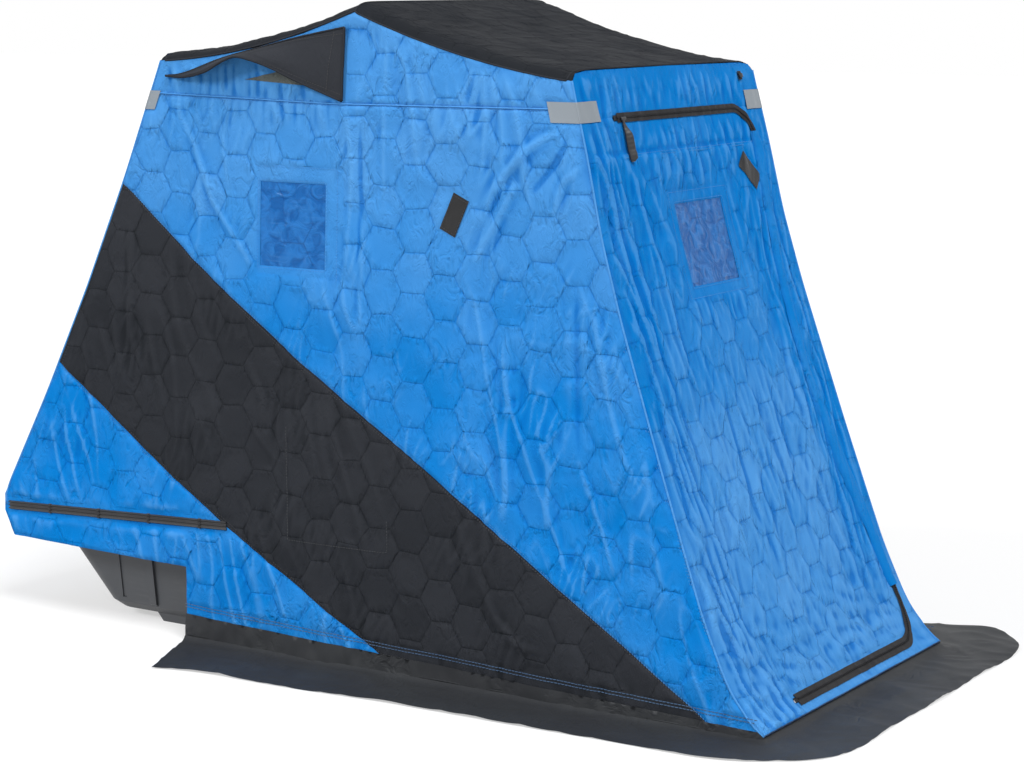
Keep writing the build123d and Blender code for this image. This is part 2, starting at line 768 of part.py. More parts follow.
# Bows
def top_of(line_x, top_z, way):
    """Centre of a bow's top bar, tucked into the corner under the roof and behind the end wall."""
    z = top_z + roof_crown - crown_dip - wall - tube / 2 - seat_gap
    slope = line_x(z) - line_x(z - 1.0)
    x = line_x(z) - way * (wall + seat_gap + tube / 2 * math.hypot(1.0, slope))
    return (x, z)


def make_bow(label, pivot, top, top_half):
    """A tube bent into an arch: two leaning legs, drilled for their pins, and a straight top bar."""
    length = math.hypot(top[0] - pivot[0], top[1] - pivot[1])
    along = ((top[0] - pivot[0]) / length, (top[1] - pivot[1]) / length)
    bow_plane = Plane(origin=(pivot[0], 0, pivot[1]), x_dir=(0, 1, 0), z_dir=(along[1], 0, -along[0]))
    spread = (leg_half - top_half) / length
    low_half = leg_half + spread * bow_end
    with BuildPart() as bow:
        with BuildLine(bow_plane) as route:
            FilletPolyline((-low_half, -bow_end), (-top_half, length), (top_half, length),
                           (low_half, -bow_end), radius=bow_bend)
        with BuildSketch(Plane(origin=route.line @ 0, z_dir=route.line % 0)) as ring:
            Circle(tube / 2)
            Circle(tube / 2 - tube_wall, mode=Mode.SUBTRACT)
        sweep(ring.sketch, path=route.line)
        with BuildSketch(Plane.XZ) as hole:
            with Locations(pivot):
                Circle(pin / 2 + pin_play)
        extrude(hole.sketch, amount=far_out, both=True, mode=Mode.SUBTRACT)
    export(bow, label)


def tucked_half(z):
    """Half the width between the middles of a bow's legs where they lie against the side walls."""
    return half_width(z) - wall - seat_gap - tube / 2


(ridge_a_x, ridge_a_z), (ridge_b_x, ridge_b_z) = roof_front_line[:2]
ridge_slope = (ridge_a_z - ridge_b_z) / (ridge_b_x - ridge_a_x)
middle_drop = crown_dip + wall + seat_gap + tube / 2 * math.hypot(1.0, ridge_slope)
middle_top = (ridge_x, ridge_z + roof_crown - middle_drop)
rear_top = top_of(rear_x, rear_top_z, -1)
front_top = top_of(front_x, front_top_z, 1)
ground_top = (front_hem_x - wall - seat_gap - ground_bar_gap - tube / 2, tube / 2 + skirt_cloth)
make_bow("rear_bow", pivots[0], rear_top, tucked_half(rear_top[1]))
make_bow("middle_bow", pivots[1], middle_top, tucked_half(middle_top[1]))
make_bow("front_bow", pivots[2], front_top, tucked_half(front_top[1]))
make_bow("ground_bow", pivots[3], ground_top, tucked_half(ground_top[1]))
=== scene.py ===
"""Looks of the ice fishing hut: quilted cloth, clear windows, zip, trim, moulded sled, light and camera.

Metres, in the hut's own frame: +X points to the door, +Z up, and -Y is the side that the camera sees.
"""
import json
import math

import bmesh
import bpy
import numpy as np
from mathutils import Matrix, Vector
from mathutils.geometry import delaunay_2d_cdt


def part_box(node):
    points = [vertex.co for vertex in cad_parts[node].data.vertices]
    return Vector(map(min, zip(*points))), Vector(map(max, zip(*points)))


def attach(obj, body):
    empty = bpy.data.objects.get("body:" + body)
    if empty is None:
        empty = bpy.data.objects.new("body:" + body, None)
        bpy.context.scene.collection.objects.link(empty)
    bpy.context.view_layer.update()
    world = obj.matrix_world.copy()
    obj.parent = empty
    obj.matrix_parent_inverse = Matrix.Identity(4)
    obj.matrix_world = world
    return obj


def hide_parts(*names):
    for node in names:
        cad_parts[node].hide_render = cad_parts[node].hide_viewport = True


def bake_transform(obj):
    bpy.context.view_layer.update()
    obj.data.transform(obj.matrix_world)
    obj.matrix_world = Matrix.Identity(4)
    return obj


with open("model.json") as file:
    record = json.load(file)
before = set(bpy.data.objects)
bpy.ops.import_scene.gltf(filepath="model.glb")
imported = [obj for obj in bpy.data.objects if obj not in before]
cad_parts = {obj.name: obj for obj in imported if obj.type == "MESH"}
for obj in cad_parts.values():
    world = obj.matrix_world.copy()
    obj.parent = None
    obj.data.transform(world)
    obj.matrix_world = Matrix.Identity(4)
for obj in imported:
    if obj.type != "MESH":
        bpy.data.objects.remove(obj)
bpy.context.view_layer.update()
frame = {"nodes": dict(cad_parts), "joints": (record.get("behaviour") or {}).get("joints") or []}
nodes = frame["nodes"]

# Cloth: its mesh, its stuffed hexagons and how seams and sewn pads draw it flat
wall_thickness = 0.008
hexagon = 0.110
hexagon_side = hexagon / math.sqrt(3)
fine_mesh = hexagon_side / 10
plain_mesh = 0.010
puff_height = 0.0021
puff_reach = 0.006
crown_height = 0.0013
cell_tilt = 0.055
tilt_reach = 0.022
seam_pull = 0.0026
seam_reach = 0.006
seam_blend = 0.010
border_blend = 0.05
pad_blend = 0.012
pad_stiffness = 0.6
front_seam_z = 1.358

# Waves that carry the hexagons off their grid, and how soon they fade at a seam
warp_size = 0.009
warp_wave = 0.19
wobble_size = 0.0022
wobble_wave = 0.050
warp_blend = 0.060

# Tones that the finish reads: rounds of smoothing with the depth of a full hollow, for painted shade in hollows
# and a painted highlight on crests, and shares of each cause, among them each wall's painted shade
relief_levels = ((6, 0.0050), (30, 0.0085))
stuffing_shown = 0.30
plain_tone = 0.30
cell_tone = 0.24
# Painted shade: how much of each wall's painted shade goes into its tone, less for black cloth on the side
# walls
wall_shade = 0.80
black_wall_shade = 0.20
far_from_stitch = 0.05

# Heights over the cloth, and the radius of rolled seams
tape_lift = 0.0022
stitch_lift = 0.0004
window_lift = -0.0035
mesh_lift = -0.002
lap_lift = 0.002
welt_radius = 0.0024
piping_radius = 0.0020

# Camera: worked out from the hut's edges in the photograph
camera_place = (3.6827, -5.6337, 1.7684)
camera_yaw = 2.1401
camera_pitch = -0.1578
camera_roll = 0.0026
focal_pixels = 2515.3
image_width = 1024
sensor_width = 36.0


# Repeatable noise

def random_at(i, j, seed):
    """A repeatable random number from 0 to 1 for each cell of a grid."""
    mask = 0xFFFFFFFF
    mixed = (np.asarray(i).astype(np.int64) * 374761393 + np.asarray(j).astype(np.int64) * 668265263
             + seed * 2246822519) & mask
    mixed = ((mixed ^ (mixed >> 13)) * 1274126177) & mask
    return ((mixed ^ (mixed >> 16)) & mask) / mask


def noise(u, v, seed):
    """Smooth gradient noise, about -1 to 1, with waves one unit long."""
    i = np.floor(u)
    j = np.floor(v)
    fu = u - i
    fv = v - j
    ease_u = fu * fu * fu * (fu * (fu * 6 - 15) + 10)
    ease_v = fv * fv * fv * (fv * (fv * 6 - 15) + 10)

    def corner(di, dj):
        turn = 2 * math.pi * random_at(i + di, j + dj, seed)
        return np.cos(turn) * (fu - di) + np.sin(turn) * (fv - dj)

    low = corner(0, 0) * (1 - ease_u) + corner(1, 0) * ease_u
    high = corner(0, 1) * (1 - ease_u) + corner(1, 1) * ease_u
    return 1.5 * (low * (1 - ease_v) + high * ease_v)


def creases(u, v, seed):
    """Sharp-backed wrinkles, 0 in the hollows and 1 along each crease."""
    return (1 - np.minimum(1.0, np.abs(noise(u, v, seed)) * 1.6)) ** 2


def ease(value, low, high):
    """A smooth step from 0 at low to 1 at high."""
    share = np.clip((value - low) / (high - low), 0, 1)
    return share * share * (3 - 2 * share)


# Reading the frame

def outer_face(name, outward, slope=0.3):
    """The corners and triangles of a solid's outer face, which looks outwards."""
    mesh = nodes[name].data
    mesh.calc_loop_triangles()
    corners = np.array([v.co for v in mesh.vertices])
    triangles = np.array([t.vertices for t in mesh.loop_triangles])
    keys = {}
    index = np.array([keys.setdefault(tuple(np.round(c, 5)), len(keys)) for c in corners])
    corners = np.array(list(keys))
    triangles = index[triangles]
    a, b, c = (corners[triangles[:, k]] for k in range(3))
    normals = np.cross(b - a, c - a)
    size = np.linalg.norm(normals, axis=1)
    keep = (size > 1e-12) & (normals @ np.array(outward, float) > slope * size)
    return corners, triangles[keep]


def outline_loops(triangles):
    """The closed loops of edges that only one triangle has."""
    follow = {}
    for triangle in triangles.tolist():
        for a, b in zip(triangle, triangle[1:] + triangle[:1]):
            if a in follow.get(b, []):
                follow[b].remove(a)
            else:
                follow.setdefault(a, []).append(b)
    loops = []
    while any(follow.values()):
        start = next(a for a in follow if follow[a])
        loop = [start]
        at = follow[start].pop()
        while at != start:
            loop.append(at)
            at = follow[at].pop()
        loops.append(loop)
    return loops


def profile_of(names, outward):
    """Height and x of an end wall's outer face, from the lowest place to the highest."""
    found = {}
    for name in names:
        corners, triangles = outer_face(name, outward)
        for x, y, z in corners[np.unique(triangles)]:
            found[round(z, 4)] = x
    return np.array(sorted(found.items()))


front_profile = profile_of(("front_strip_right", "front_header", "front_sill"), (1, 0, 0))
rear_profile = profile_of(("rear_valance", "rear_wall", "rear_header"), (-1, 0, 0))
side_corners, side_triangles = outer_face("side_panel_right", (0, -1, 0))
side_used = side_corners[np.unique(side_triangles)]
side_lean, side_base = np.polyfit(side_used[:, 2], -side_used[:, 1], 1)


def half_width(z):
    """Half the hut's width at a height."""
    return side_base + side_lean * z


# The edge band clamps the cloth to the sled's rim and rises a little towards its front
band_low, band_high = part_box("edge_band")
band_height = 0.024
band_slope = (band_high[2] - band_low[2] - band_height) / (band_high[0] - band_low[0])


def band_middle(x):
    """Height of the band's middle line."""
    return band_low[2] + band_height / 2 + band_slope * (x - band_low[0])


# The side walls' hem: a place on it near the rear, its slope, and the heights of its stitched rows over it
hem_rear = (-0.642, 0.074)
hem_slope = -0.0251
hem_rises = (0.019, 0.027)


def hem_height(x):
    """Height of the side wall's lower hem, which drops towards the front."""
    return hem_rear[1] + hem_slope * (x - hem_rear[0])


def profile_x(profile, z):
    """The end wall's x at a height."""
    return np.interp(z, profile[:, 0], profile[:, 1])


def snapped_x(points):
    """The points' x, moved onto an end wall's outer face where it is close to one."""
    front = profile_x(front_profile, points[:, 2])
    rear = profile_x(rear_profile, points[:, 2])
    x = np.where(points[:, 0] > front - 1.5 * wall_thickness, front, points[:, 0])
    return np.where(x < rear + 1.5 * wall_thickness, rear, x)


def smooth_profile(profile, z):
    """The end wall's x at a height, rounded over the corners of its profile."""
    reach = 0.05
    total = 0.0
    for shift, weight in ((-1.0, 1), (-0.5, 2), (0.0, 3), (0.5, 2), (1.0, 1)):
        total = total + weight * profile_x(profile, z + shift * reach)
    plain = profile_x(profile, z)
    ends = np.minimum(z - profile[0, 0], profile[-1, 0] - z) / reach
    return plain + (total / 9 - plain) * np.clip(ends, 0, 1)


# Walls: each turns flat cloth coordinates into places on the hut's outer face

class Roof:
    """One half of the roof: it sags between its bows and is crowned across the hut."""

    def __init__(self, name, seed):
        corners, triangles = outer_face(name, (0, 0, 1))
        used = corners[np.unique(triangles)]
        middle = used[np.abs(used[:, 1]) < 0.001]
        self.curve = np.polyfit(middle[:, 0], middle[:, 2], 2)
        self.low_x = middle[:, 0].min()
        self.high_x = middle[:, 0].max()
        self.lines = np.linspace(self.low_x - 0.02, self.high_x + 0.02, 200)
        heights = np.polyval(self.curve, self.lines)
        self.along = np.concatenate([[0.0], np.cumsum(np.hypot(np.diff(self.lines), np.diff(heights)))])
        edge = used[np.argmax(np.abs(used[:, 1]))]
        self.drop = np.polyval(self.curve, edge[0]) - edge[2]
        self.seed = seed
        self.outward = (0, 0, 1)
        self.turn = -1
        self.pads = []

    def flat(self, points):
        return np.stack([points[:, 1], np.interp(snapped_x(points), self.lines, self.along)], axis=1)

    def edge_z(self, x):
        return np.polyval(self.curve, x) - self.drop

    def place(self, u, v):
        x = np.interp(v, self.along, self.lines)
        inward = half_width(self.edge_z(x)) - np.abs(u)
        crown = np.exp(-np.maximum(inward, 0) / 0.018)
        z = np.polyval(self.curve, x) - self.drop * crown - 0.002 * (1 - crown) * (np.abs(u) / side_base) ** 2
        return np.stack([x, u, z], axis=1)

    def border(self, u, v):
        x = np.interp(v, self.along, self.lines)
        inward = half_width(self.edge_z(x)) - np.abs(u)
        ends = np.minimum(x - self.low_x, self.high_x - x)
        return ease(inward, 0, border_blend) * ease(ends, 0, border_blend)

    def folds(self, u, v):
        drift = 0.004 * noise(u / 0.28, v / 0.22, self.seed)
        ripple = 0.0020 * creases(u / 0.16 + 0.3 * v, v / 0.05, self.seed + 1)
        return drift + ripple

    def quilt_share(self, u, v):
        return np.full(len(u), 0.40)

    def shade(self, u, v):
        # Painted shade: the roof's black cloth takes a dark tone all over
        return np.full(len(u), 0.9)


roofs = {"roof_front": Roof("roof_front", 61), "roof_rear": Roof("roof_rear", 67)}


def roof_edge_z(x):
    """Height of the roof's side edge."""
    front, rear = roofs["roof_front"], roofs["roof_rear"]
    return np.where(x > front.low_x, front.edge_z(x), rear.edge_z(x))


def line_distance(u, v, line):
    """Distance to a line of cloth points, and how far along it the nearest place is, from 0 to 1."""
    line = np.array(line, float)
    steps = np.hypot(*np.diff(line, axis=0).T)
    total = steps.sum()
    best = np.full(len(u), 1e9)
    share = np.zeros(len(u))
    passed = 0.0
    for (au, av), (bu, bv), step in zip(line, line[1:], steps):
        t = np.clip(((u - au) * (bu - au) + (v - av) * (bv - av)) / max(step * step, 1e-12), 0, 1)
        away = np.hypot(u - au - t * (bu - au), v - av - t * (bv - av))
        closer = away < best
        best = np.where(closer, away, best)
        share = np.where(closer, (passed + t * step) / total, share)
        passed += step
    return best, share


def fold(u, v, line, width, height):
    """A soft fold along a line of cloth points, which fades out at its two ends."""
    away, share = line_distance(u, v, line)
    return height * np.exp(-(away / width) ** 2) * np.sin(math.pi * np.clip(share, 0, 1)) ** 0.6


# Folds that the photograph shows: points, half width and height
side_folds = [
    ([(0.53, 1.43), (0.43, 1.37), (0.36, 1.30), (0.30, 1.22)], 0.012, 0.010),
    ([(0.54, 1.40), (0.50, 1.33), (0.44, 1.26)], 0.012, -0.007),
    ([(0.59, 1.34), (0.53, 1.29), (0.50, 1.20)], 0.010, 0.006),
    ([(0.40, 1.29), (0.34, 1.19), (0.27, 1.08)], 0.012, 0.008),
    ([(-0.70, 1.48), (-0.62, 1.35), (-0.55, 1.19), (-0.44, 1.06), (-0.40, 1.00)], 0.009, 0.006),
    ([(-0.12, 1.47), (-0.10, 1.31), (-0.11, 1.05)], 0.008, 0.005),
    ([(-0.08, 1.47), (-0.07, 1.22), (-0.08, 0.90)], 0.011, -0.006),
    ([(0.00, 1.46), (0.00, 1.22)], 0.008, 0.004),
    ([(0.38, 0.90), (0.38, 0.65), (0.38, 0.42)], 0.014, 0.006),
    ([(0.57, 1.05), (0.58, 0.82), (0.59, 0.62)], 0.014, -0.006),
    ([(0.51, 0.68), (0.50, 0.41)], 0.012, 0.005),
    ([(0.62, 1.00), (0.67, 0.78), (0.74, 0.58)], 0.012, 0.005),
    ([(-0.84, 1.13), (-0.83, 0.93), (-0.84, 0.80)], 0.010, 0.006),
    ([(-0.44, 0.80), (-0.38, 0.68), (-0.38, 0.58)], 0.010, 0.005),
    ([(-0.44, 0.64), (-0.33, 0.52)], 0.008, 0.004),
    ([(0.30, 0.33), (0.36, 0.20), (0.43, 0.14), (0.52, 0.13)], 0.012, 0.007),
]
front_folds = [
    ([(-0.39, 1.34), (-0.37, 1.05), (-0.34, 0.80), (-0.30, 0.55)], 0.012, -0.007),
    ([(-0.29, 1.32), (-0.25, 1.09), (-0.25, 0.88)], 0.010, 0.006),
    ([(-0.41, 1.30), (-0.41, 1.08), (-0.39, 0.90)], 0.010, 0.006),
    ([(0.43, 1.24), (0.43, 1.06), (0.45, 0.80), (0.47, 0.58)], 0.007, -0.006),
    ([(0.30, 0.95), (0.27, 0.70), (0.30, 0.45)], 0.012, 0.005),
    ([(-0.10, 0.80), (-0.12, 0.50), (-0.08, 0.30)], 0.014, -0.005),
    ([(0.12, 0.65), (0.10, 0.40)], 0.012, 0.005),
]


class SideWall:
    """A side wall, flat along x and z, and leaning in towards its top."""

    def __init__(self, side, seed):
        self.side = side
        self.seed = seed
        self.outward = (0, side, 0)
        self.turn = -side
        self.pads = []

    def flat(self, points):
        return np.stack([snapped_x(points), points[:, 2]], axis=1)

    def place(self, u, v):
        front = profile_x(front_profile, v)
        shift = smooth_profile(front_profile, v) - front
        return np.stack([u + shift * ease(u, front - 0.06, front), self.side * half_width(v), v], axis=1)

    def border(self, u, v):
        ends = ease(profile_x(front_profile, v) - u, 0, border_blend)
        ends = ends * ease(u - profile_x(rear_profile, v), 0, border_blend)
        return ends * ease(roof_edge_z(u) - v, 0, border_blend) * self.off_band(u, v)

    def off_band(self, u, v):
        """0 where the edge band clamps the cloth, and 1 a hand's width away."""
        away = np.maximum(np.abs(v - band_middle(u)), u - band_high[0])
        return ease(away, band_height / 2 + 0.002, 0.040)

    def folds(self, u, v):
        total = 0.006 * noise(u / 0.45, v / 0.38, self.seed)
        total = total + 0.0030 * noise(u / 0.14, v / 0.28, self.seed + 1)
        mask = ease(noise(u / 0.26, v / 0.34, self.seed + 2), -0.35, 0.45)
        total = total + 0.0046 * mask * creases(u / 0.075 + 0.25 * v / 0.075, v / 0.30, self.seed + 3)
        mask = ease(noise(u / 0.20, v / 0.22, self.seed + 6), -0.05, 0.5)
        total = total + 0.0027 * mask * creases(u / 0.034 - 0.3 * v / 0.034, v / 0.12, self.seed + 7)
        if self.side < 0:
            for line, width, height in side_folds:
                total = total + 0.7 * fold(u, v, line, width, height)
        under_roof = ease(0.075 - (roof_edge_z(u) - v), 0, 0.03) * ease(-0.10 - u, 0, 0.05)
        over_vent = ease(0.055 - np.abs(v - 1.50), 0, 0.04) * ease(0.26 - np.abs(u + 0.42), 0, 0.12)
        under_seam = ease(1.475 - v, 0, 0.01) * ease(v, 1.36, 1.44) * ease(-0.10 - u, 0, 0.10)
        gather = np.maximum(np.maximum(under_roof, over_vent), 0.7 * under_seam)
        total = total + 0.0042 * gather * noise(u / 0.021, v / 0.08, self.seed + 4)
        hem = ease(0.12 - v, 0, 0.09)
        return total + 0.0034 * hem * noise(u / 0.035, v / 0.08, self.seed + 5)

    def quilt_share(self, u, v):
        vent = ease(v, 1.455, 1.475) * ease(-0.10 - u, 0, 0.03)
        over_hem = ease(v - hem_height(u) - hem_rises[1], 0.0, 0.012)
        return (1.0 - 0.95 * vent) * self.off_band(u, v) * over_hem

    def shade(self, u, v):
        # Painted shade: the side wall's colour darkens towards the bottom and towards the rear end
        return 0.70 * ease(1.40 - v, 0, 0.8) + 0.35 * ease(-0.75 - u, 0, 0.3)


class EndWall:
    """The front or the rear wall: flat across the hut, and curved up along its profile."""

    def __init__(self, profile, way, seed):
        self.profile = profile
        self.way = way
        self.seed = seed
        self.outward = (way, 0, 0)
        self.turn = way
        self.pads = []
        self.heights = np.linspace(profile[0, 0], profile[-1, 0], 400)
        line = smooth_profile(profile, self.heights)
        self.along = np.concatenate([[0.0], np.cumsum(np.hypot(np.diff(self.heights), np.diff(line)))])

    def flat(self, points):
        return np.stack([points[:, 1], self.v_at(points[:, 2])], axis=1)

    def v_at(self, z):
        return np.interp(z, self.heights, self.along)

    def height(self, v):
        return np.interp(v, self.along, self.heights)

    def place(self, u, v):
        z = self.height(v)
        return np.stack([smooth_profile(self.profile, z), u, z], axis=1)

    def border(self, u, v):
        z = self.height(v)
        inside = ease(half_width(z) - np.abs(u), 0, border_blend)
        inside = inside * ease(v, 0, 0.012) * ease(self.along[-1] - v, 0, border_blend)
        return inside * self.off_band(z)

    def off_band(self, z):
        """0 where the edge band clamps the rear wall, and 1 a hand's width away."""
        if self.way > 0:
            return 1.0
        return ease(np.abs(z - band_middle(band_low[0])), band_height / 2 + 0.002, 0.040)

    def folds(self, u, v):
        z = self.height(v)
        total = 0.004 * noise(u / 0.30, v / 0.45, self.seed)
        total = total + 0.0034 * noise(u / 0.12, v / 0.22, self.seed + 1)
        if self.way < 0:
            mask = ease(noise(u / 0.26, v / 0.34, self.seed + 2), -0.35, 0.45)
            return total + 0.0042 * mask * creases(u / 0.080, v / 0.28, self.seed + 3)
        mask = 0.35 + 0.65 * ease(noise(u / 0.22, v / 0.40, self.seed + 2), -0.3, 0.4)
        total = total + 0.0060 * mask * creases(u / 0.060 + 0.04 * v / 0.060, v / 0.28, self.seed + 3)
        total = total + 0.0015 * creases(u / 0.036 - 0.25 * v / 0.036, v / 0.11, self.seed + 12)
        near = ease(-0.31 - u - 0.05 * z, -0.05, 0.03)
        far = self.far_column(u, z)
        total = total + 0.0095 * near * creases(u / 0.044 + 0.05 * v / 0.044, v / 0.34, self.seed + 7)
        total = total + 0.0055 * far * creases(u / 0.040 - 0.10 * v / 0.040, v / 0.30, self.seed + 8)
        for line, width, height in front_folds:
            total = total + fold(u, z, line, width, height)
        gather = ease(z, front_seam_z - 0.01, front_seam_z + 0.02) * ease(1.53 - z, 0, 0.04)
        total = total + 0.0046 * gather * noise(u / 0.024, v / 0.10, self.seed + 4)
        below = ease(front_seam_z - z, 0, 0.01) * ease(z, front_seam_z - 0.16, front_seam_z - 0.05)
        total = total + 0.0046 * below * noise(u / 0.028, v / 0.09, self.seed + 6)
        under_window = ease(0.99 - z, 0, 0.01) * ease(z, 0.89, 0.96) * ease(0.17 - np.abs(u - 0.025), 0, 0.04)
        total = total + 0.0046 * under_window * noise(u / 0.020, v / 0.08, self.seed + 9)
        away = np.abs(z - front_seam_z)
        total = total - 0.0030 * np.exp(-away / 0.007)
        hem = ease(0.34 - z, 0, 0.24)
        return total + 0.0036 * hem * noise(u / 0.05 + v / 0.1, v / 0.035, self.seed + 5)

    def far_column(self, u, z):
        """The pleated strip of cloth down the far side of the door."""
        beside = ease(u, 0.30 - 0.05 * z, 0.37 - 0.05 * z)
        return beside * ease(front_seam_z - z, -0.02, 0.05) * ease(z, 0.16, 0.34)

    def quilt_share(self, u, v):
        z = self.height(v)
        if self.way < 0:
            return self.off_band(z)
        upright = ease(front_seam_z - 0.005 - z, 0, 0.012) * ease(z, 0.05, 0.09)
        return upright * (1 - 0.6 * self.far_column(u, z))

    # Painted shade: the rear wall's colour darkens evenly; the front wall's darkens towards the top, down its
    # near side and down the pleated far column
    def shade(self, u, v):
        z = self.height(v)
        if self.way < 0:
            return np.full(len(u), 0.4)
        near = ease(-0.31 - u - 0.05 * z, -0.05, 0.03) * ease(z, 0.35, 0.80)
        top = ease(z, 0.45, 1.30)
        return np.clip(0.7 * self.far_column(u, z) + 0.40 * near + 0.85 * top, 0, 1)


side_walls = {"right": SideWall(-1, 11), "left": SideWall(1, 23)}
front_wall = EndWall(front_profile, 1, 31)
rear_wall = EndWall(rear_profile, -1, 43)


def quilt(u, v, seed):
    """Height of the stuffed hexagons over their backing, and the distance to the nearest stitched line."""
    column = 1.5 * hexagon_side
    best = np.full(len(u), 1e9)
    du = np.zeros(len(u))
    dv = np.zeros(len(u))
    cell_i = np.zeros(len(u))
    cell_j = np.zeros(len(u))
    nearest = np.round(u / column)
    for step in (-1, 0, 1):
        i = nearest + step
        half = 0.5 * (np.abs(i) % 2)
        j = np.round(v / hexagon - half)
        off_u = u - i * column
        off_v = v - (j + half) * hexagon
        away = np.hypot(off_u, off_v)
        closer = away < best
        best = np.where(closer, away, best)
        du = np.where(closer, off_u, du)
        dv = np.where(closer, off_v, dv)
        cell_i = np.where(closer, i, cell_i)
        cell_j = np.where(closer, j, cell_j)
    slant = np.abs(dv) / 2 + np.abs(du) * math.sqrt(3) / 2
    edge = hexagon / 2 - np.maximum(np.abs(dv), slant)
    edge = np.maximum(edge, 0)
    tilt_u = cell_tilt * (2 * random_at(cell_i, cell_j, seed) - 1)
    tilt_v = cell_tilt * (2 * random_at(cell_i, cell_j, seed + 1) - 1)
    stuffed = puff_height * (1 - np.exp(-edge / puff_reach)) + crown_height * edge / (hexagon / 2)
    turned = (tilt_u * du + tilt_v * dv) * ease(edge, 0, tilt_reach)
    return stuffed + turned, edge, random_at(cell_i, cell_j, seed + 2)


# Cloth meshes

def resample(line, step):
    """Points along a line, no further apart than a step."""
    points = []
    for a, b in zip(line, line[1:]):
        count = max(1, math.ceil(np.hypot(*(b - a)) / step))
        points += [a + (b - a) * k / count for k in range(count)]
    return np.array(points + [line[-1]])


def inside(points, loops):
    """Whether each point lies inside a set of closed lines, where a line within a line is a hole."""
    result = np.zeros(len(points), bool)
    u, v = points[:, 0], points[:, 1]
    for loop in loops:
        for (au, av), (bu, bv) in zip(loop, loop[1:]):
            if av == bv:
                continue
            result ^= ((av > v) != (bv > v)) & (u < au + (v - av) * (bu - au) / (bv - av))
    return result


def edge_distance(points, lines):
    """Distance of each cloth point from the nearest of some lines."""
    best = np.full(len(points), 1e9)
    for line in lines:
        best = np.minimum(best, line_distance(points[:, 0], points[:, 1], line)[0])
    return best


def cloth_mesh(regions, step, on_hinge=None):
    """Points and triangles that fill the regions, on the grid of the quilting."""
    borders = [resample(loop, step) for loops in regions for loop in loops]
    everything = np.vstack(borders)
    low = everything.min(axis=0) - step
    high = everything.max(axis=0) + step
    rise = step * math.sqrt(3) / 2
    rows = np.arange(math.floor(low[1] / rise), math.ceil(high[1] / rise) + 1)
    columns = np.arange(math.floor(low[0] / step) - 1, math.ceil(high[0] / step) + 2)
    grid_u, grid_v = np.meshgrid(columns.astype(float), rows.astype(float))
    grid = np.stack([(grid_u + 0.5 * (np.abs(grid_v) % 2)).ravel() * step, grid_v.ravel() * rise], axis=1)
    keep = np.zeros(len(grid), bool)
    for loops in regions:
        keep |= inside(grid, loops)
    grid = grid[keep]
    grid = grid[edge_distance(grid, [loop for loops in regions for loop in loops]) > 0.4 * step]
    points = [Vector(p) for p in np.vstack([everything, grid])]
    edges = []
    first = 0
    for border in borders:
        edges += [(first + k, first + k + 1) for k in range(len(border) - 1)]
        first += len(border)
    if on_hinge is not None:
        held = on_hinge(everything)
        edges = [(a, b) for a, b in edges if not (held[a] and held[b])]
    made = delaunay_2d_cdt(points, edges, [], 0, 1e-7)
    flat = np.array([tuple(p) for p in made[0]])
    triangles = np.array([f for f in made[2] if len(f) == 3])
    middles = flat[triangles].mean(axis=1)
    keep = np.zeros(len(middles), bool)
    for loops in regions:
        keep |= inside(middles, loops)
    triangles = triangles[keep]
    used = np.unique(triangles)
    renumber = np.full(len(flat), -1)
    renumber[used] = np.arange(len(used))
    return flat[used], renumber[triangles]


def make_object(name, points, faces, material, smooth=True):
    """A mesh object of points and faces, with one material."""
    mesh = bpy.data.meshes.new(name)
    mesh.from_pydata([tuple(p) for p in points], [], [tuple(f) for f in faces])
    mesh.update()
    if smooth:
        mesh.shade_smooth()
    obj = bpy.data.objects.new(name, mesh)
    bpy.context.scene.collection.objects.link(obj)
    mesh.materials.append(material)
    return obj


def set_attribute(obj, name, values, kind="FLOAT"):
    """Store a value for each of a mesh's points."""
    attribute = obj.data.attributes.new(name, kind, "POINT")
    field = "value" if kind == "FLOAT" else "vector"
    attribute.data.foreach_set(field, np.ascontiguousarray(values, np.float32).ravel())


def unit(vectors):
    """Rows of vectors, each made one unit long."""
    return vectors / np.linalg.norm(vectors, axis=1)[:, None]


def normals_of(wall, u, v):
    """The wall's outward direction at cloth points."""
    small = 0.002
    along_u = wall.place(u + small, v) - wall.place(u - small, v)
    along_v = wall.place(u, v + small) - wall.place(u, v - small)
    return unit(np.cross(along_u, along_v) * wall.turn)


def regions_of(wall, node_names):
    """The outlines of solids on a wall, as closed lines of cloth points."""
    regions = []
    for node in node_names:
        corners, triangles = outer_face(node, wall.outward)
        flat = wall.flat(corners)
        regions.append([flat[loop + loop[:1]] for loop in outline_loops(triangles)])
    return regions


def rectangle(low_u, low_v, high_u, high_v):
    """A closed line round a rectangle."""
    return np.array([(low_u, low_v), (high_u, low_v), (high_u, high_v), (low_u, high_v), (low_u, low_v)])


def pad_distance(wall, u, v):
    """Distance to the nearest patch, tape or window frame on a wall, 0 on it."""
    points = np.stack([u, v], axis=1)
    best = np.full(len(u), 1e9)
    for pad in wall.pads:
        best = np.minimum(best, np.where(inside(points, [pad]), 0, edge_distance(points, [pad])))
    return best


def fold_height(wall, u, v, away):
    """Height of the folds, which a stiff patch or tape draws flatter."""
    return wall.folds(u, v) * wall.border(u, v) * (1 - pad_stiffness * (1 - ease(away, 0, border_blend)))


def smooth_face(wall, u, v, lift):
    """Places on a wall's cloth without its quilting, raised by a small height, and the way they face."""
    outwards = normals_of(wall, u, v)
    height = fold_height(wall, u, v, pad_distance(wall, u, v)) + lift
    return wall.place(u, v) + outwards * np.reshape(height, (-1, 1)), outwards


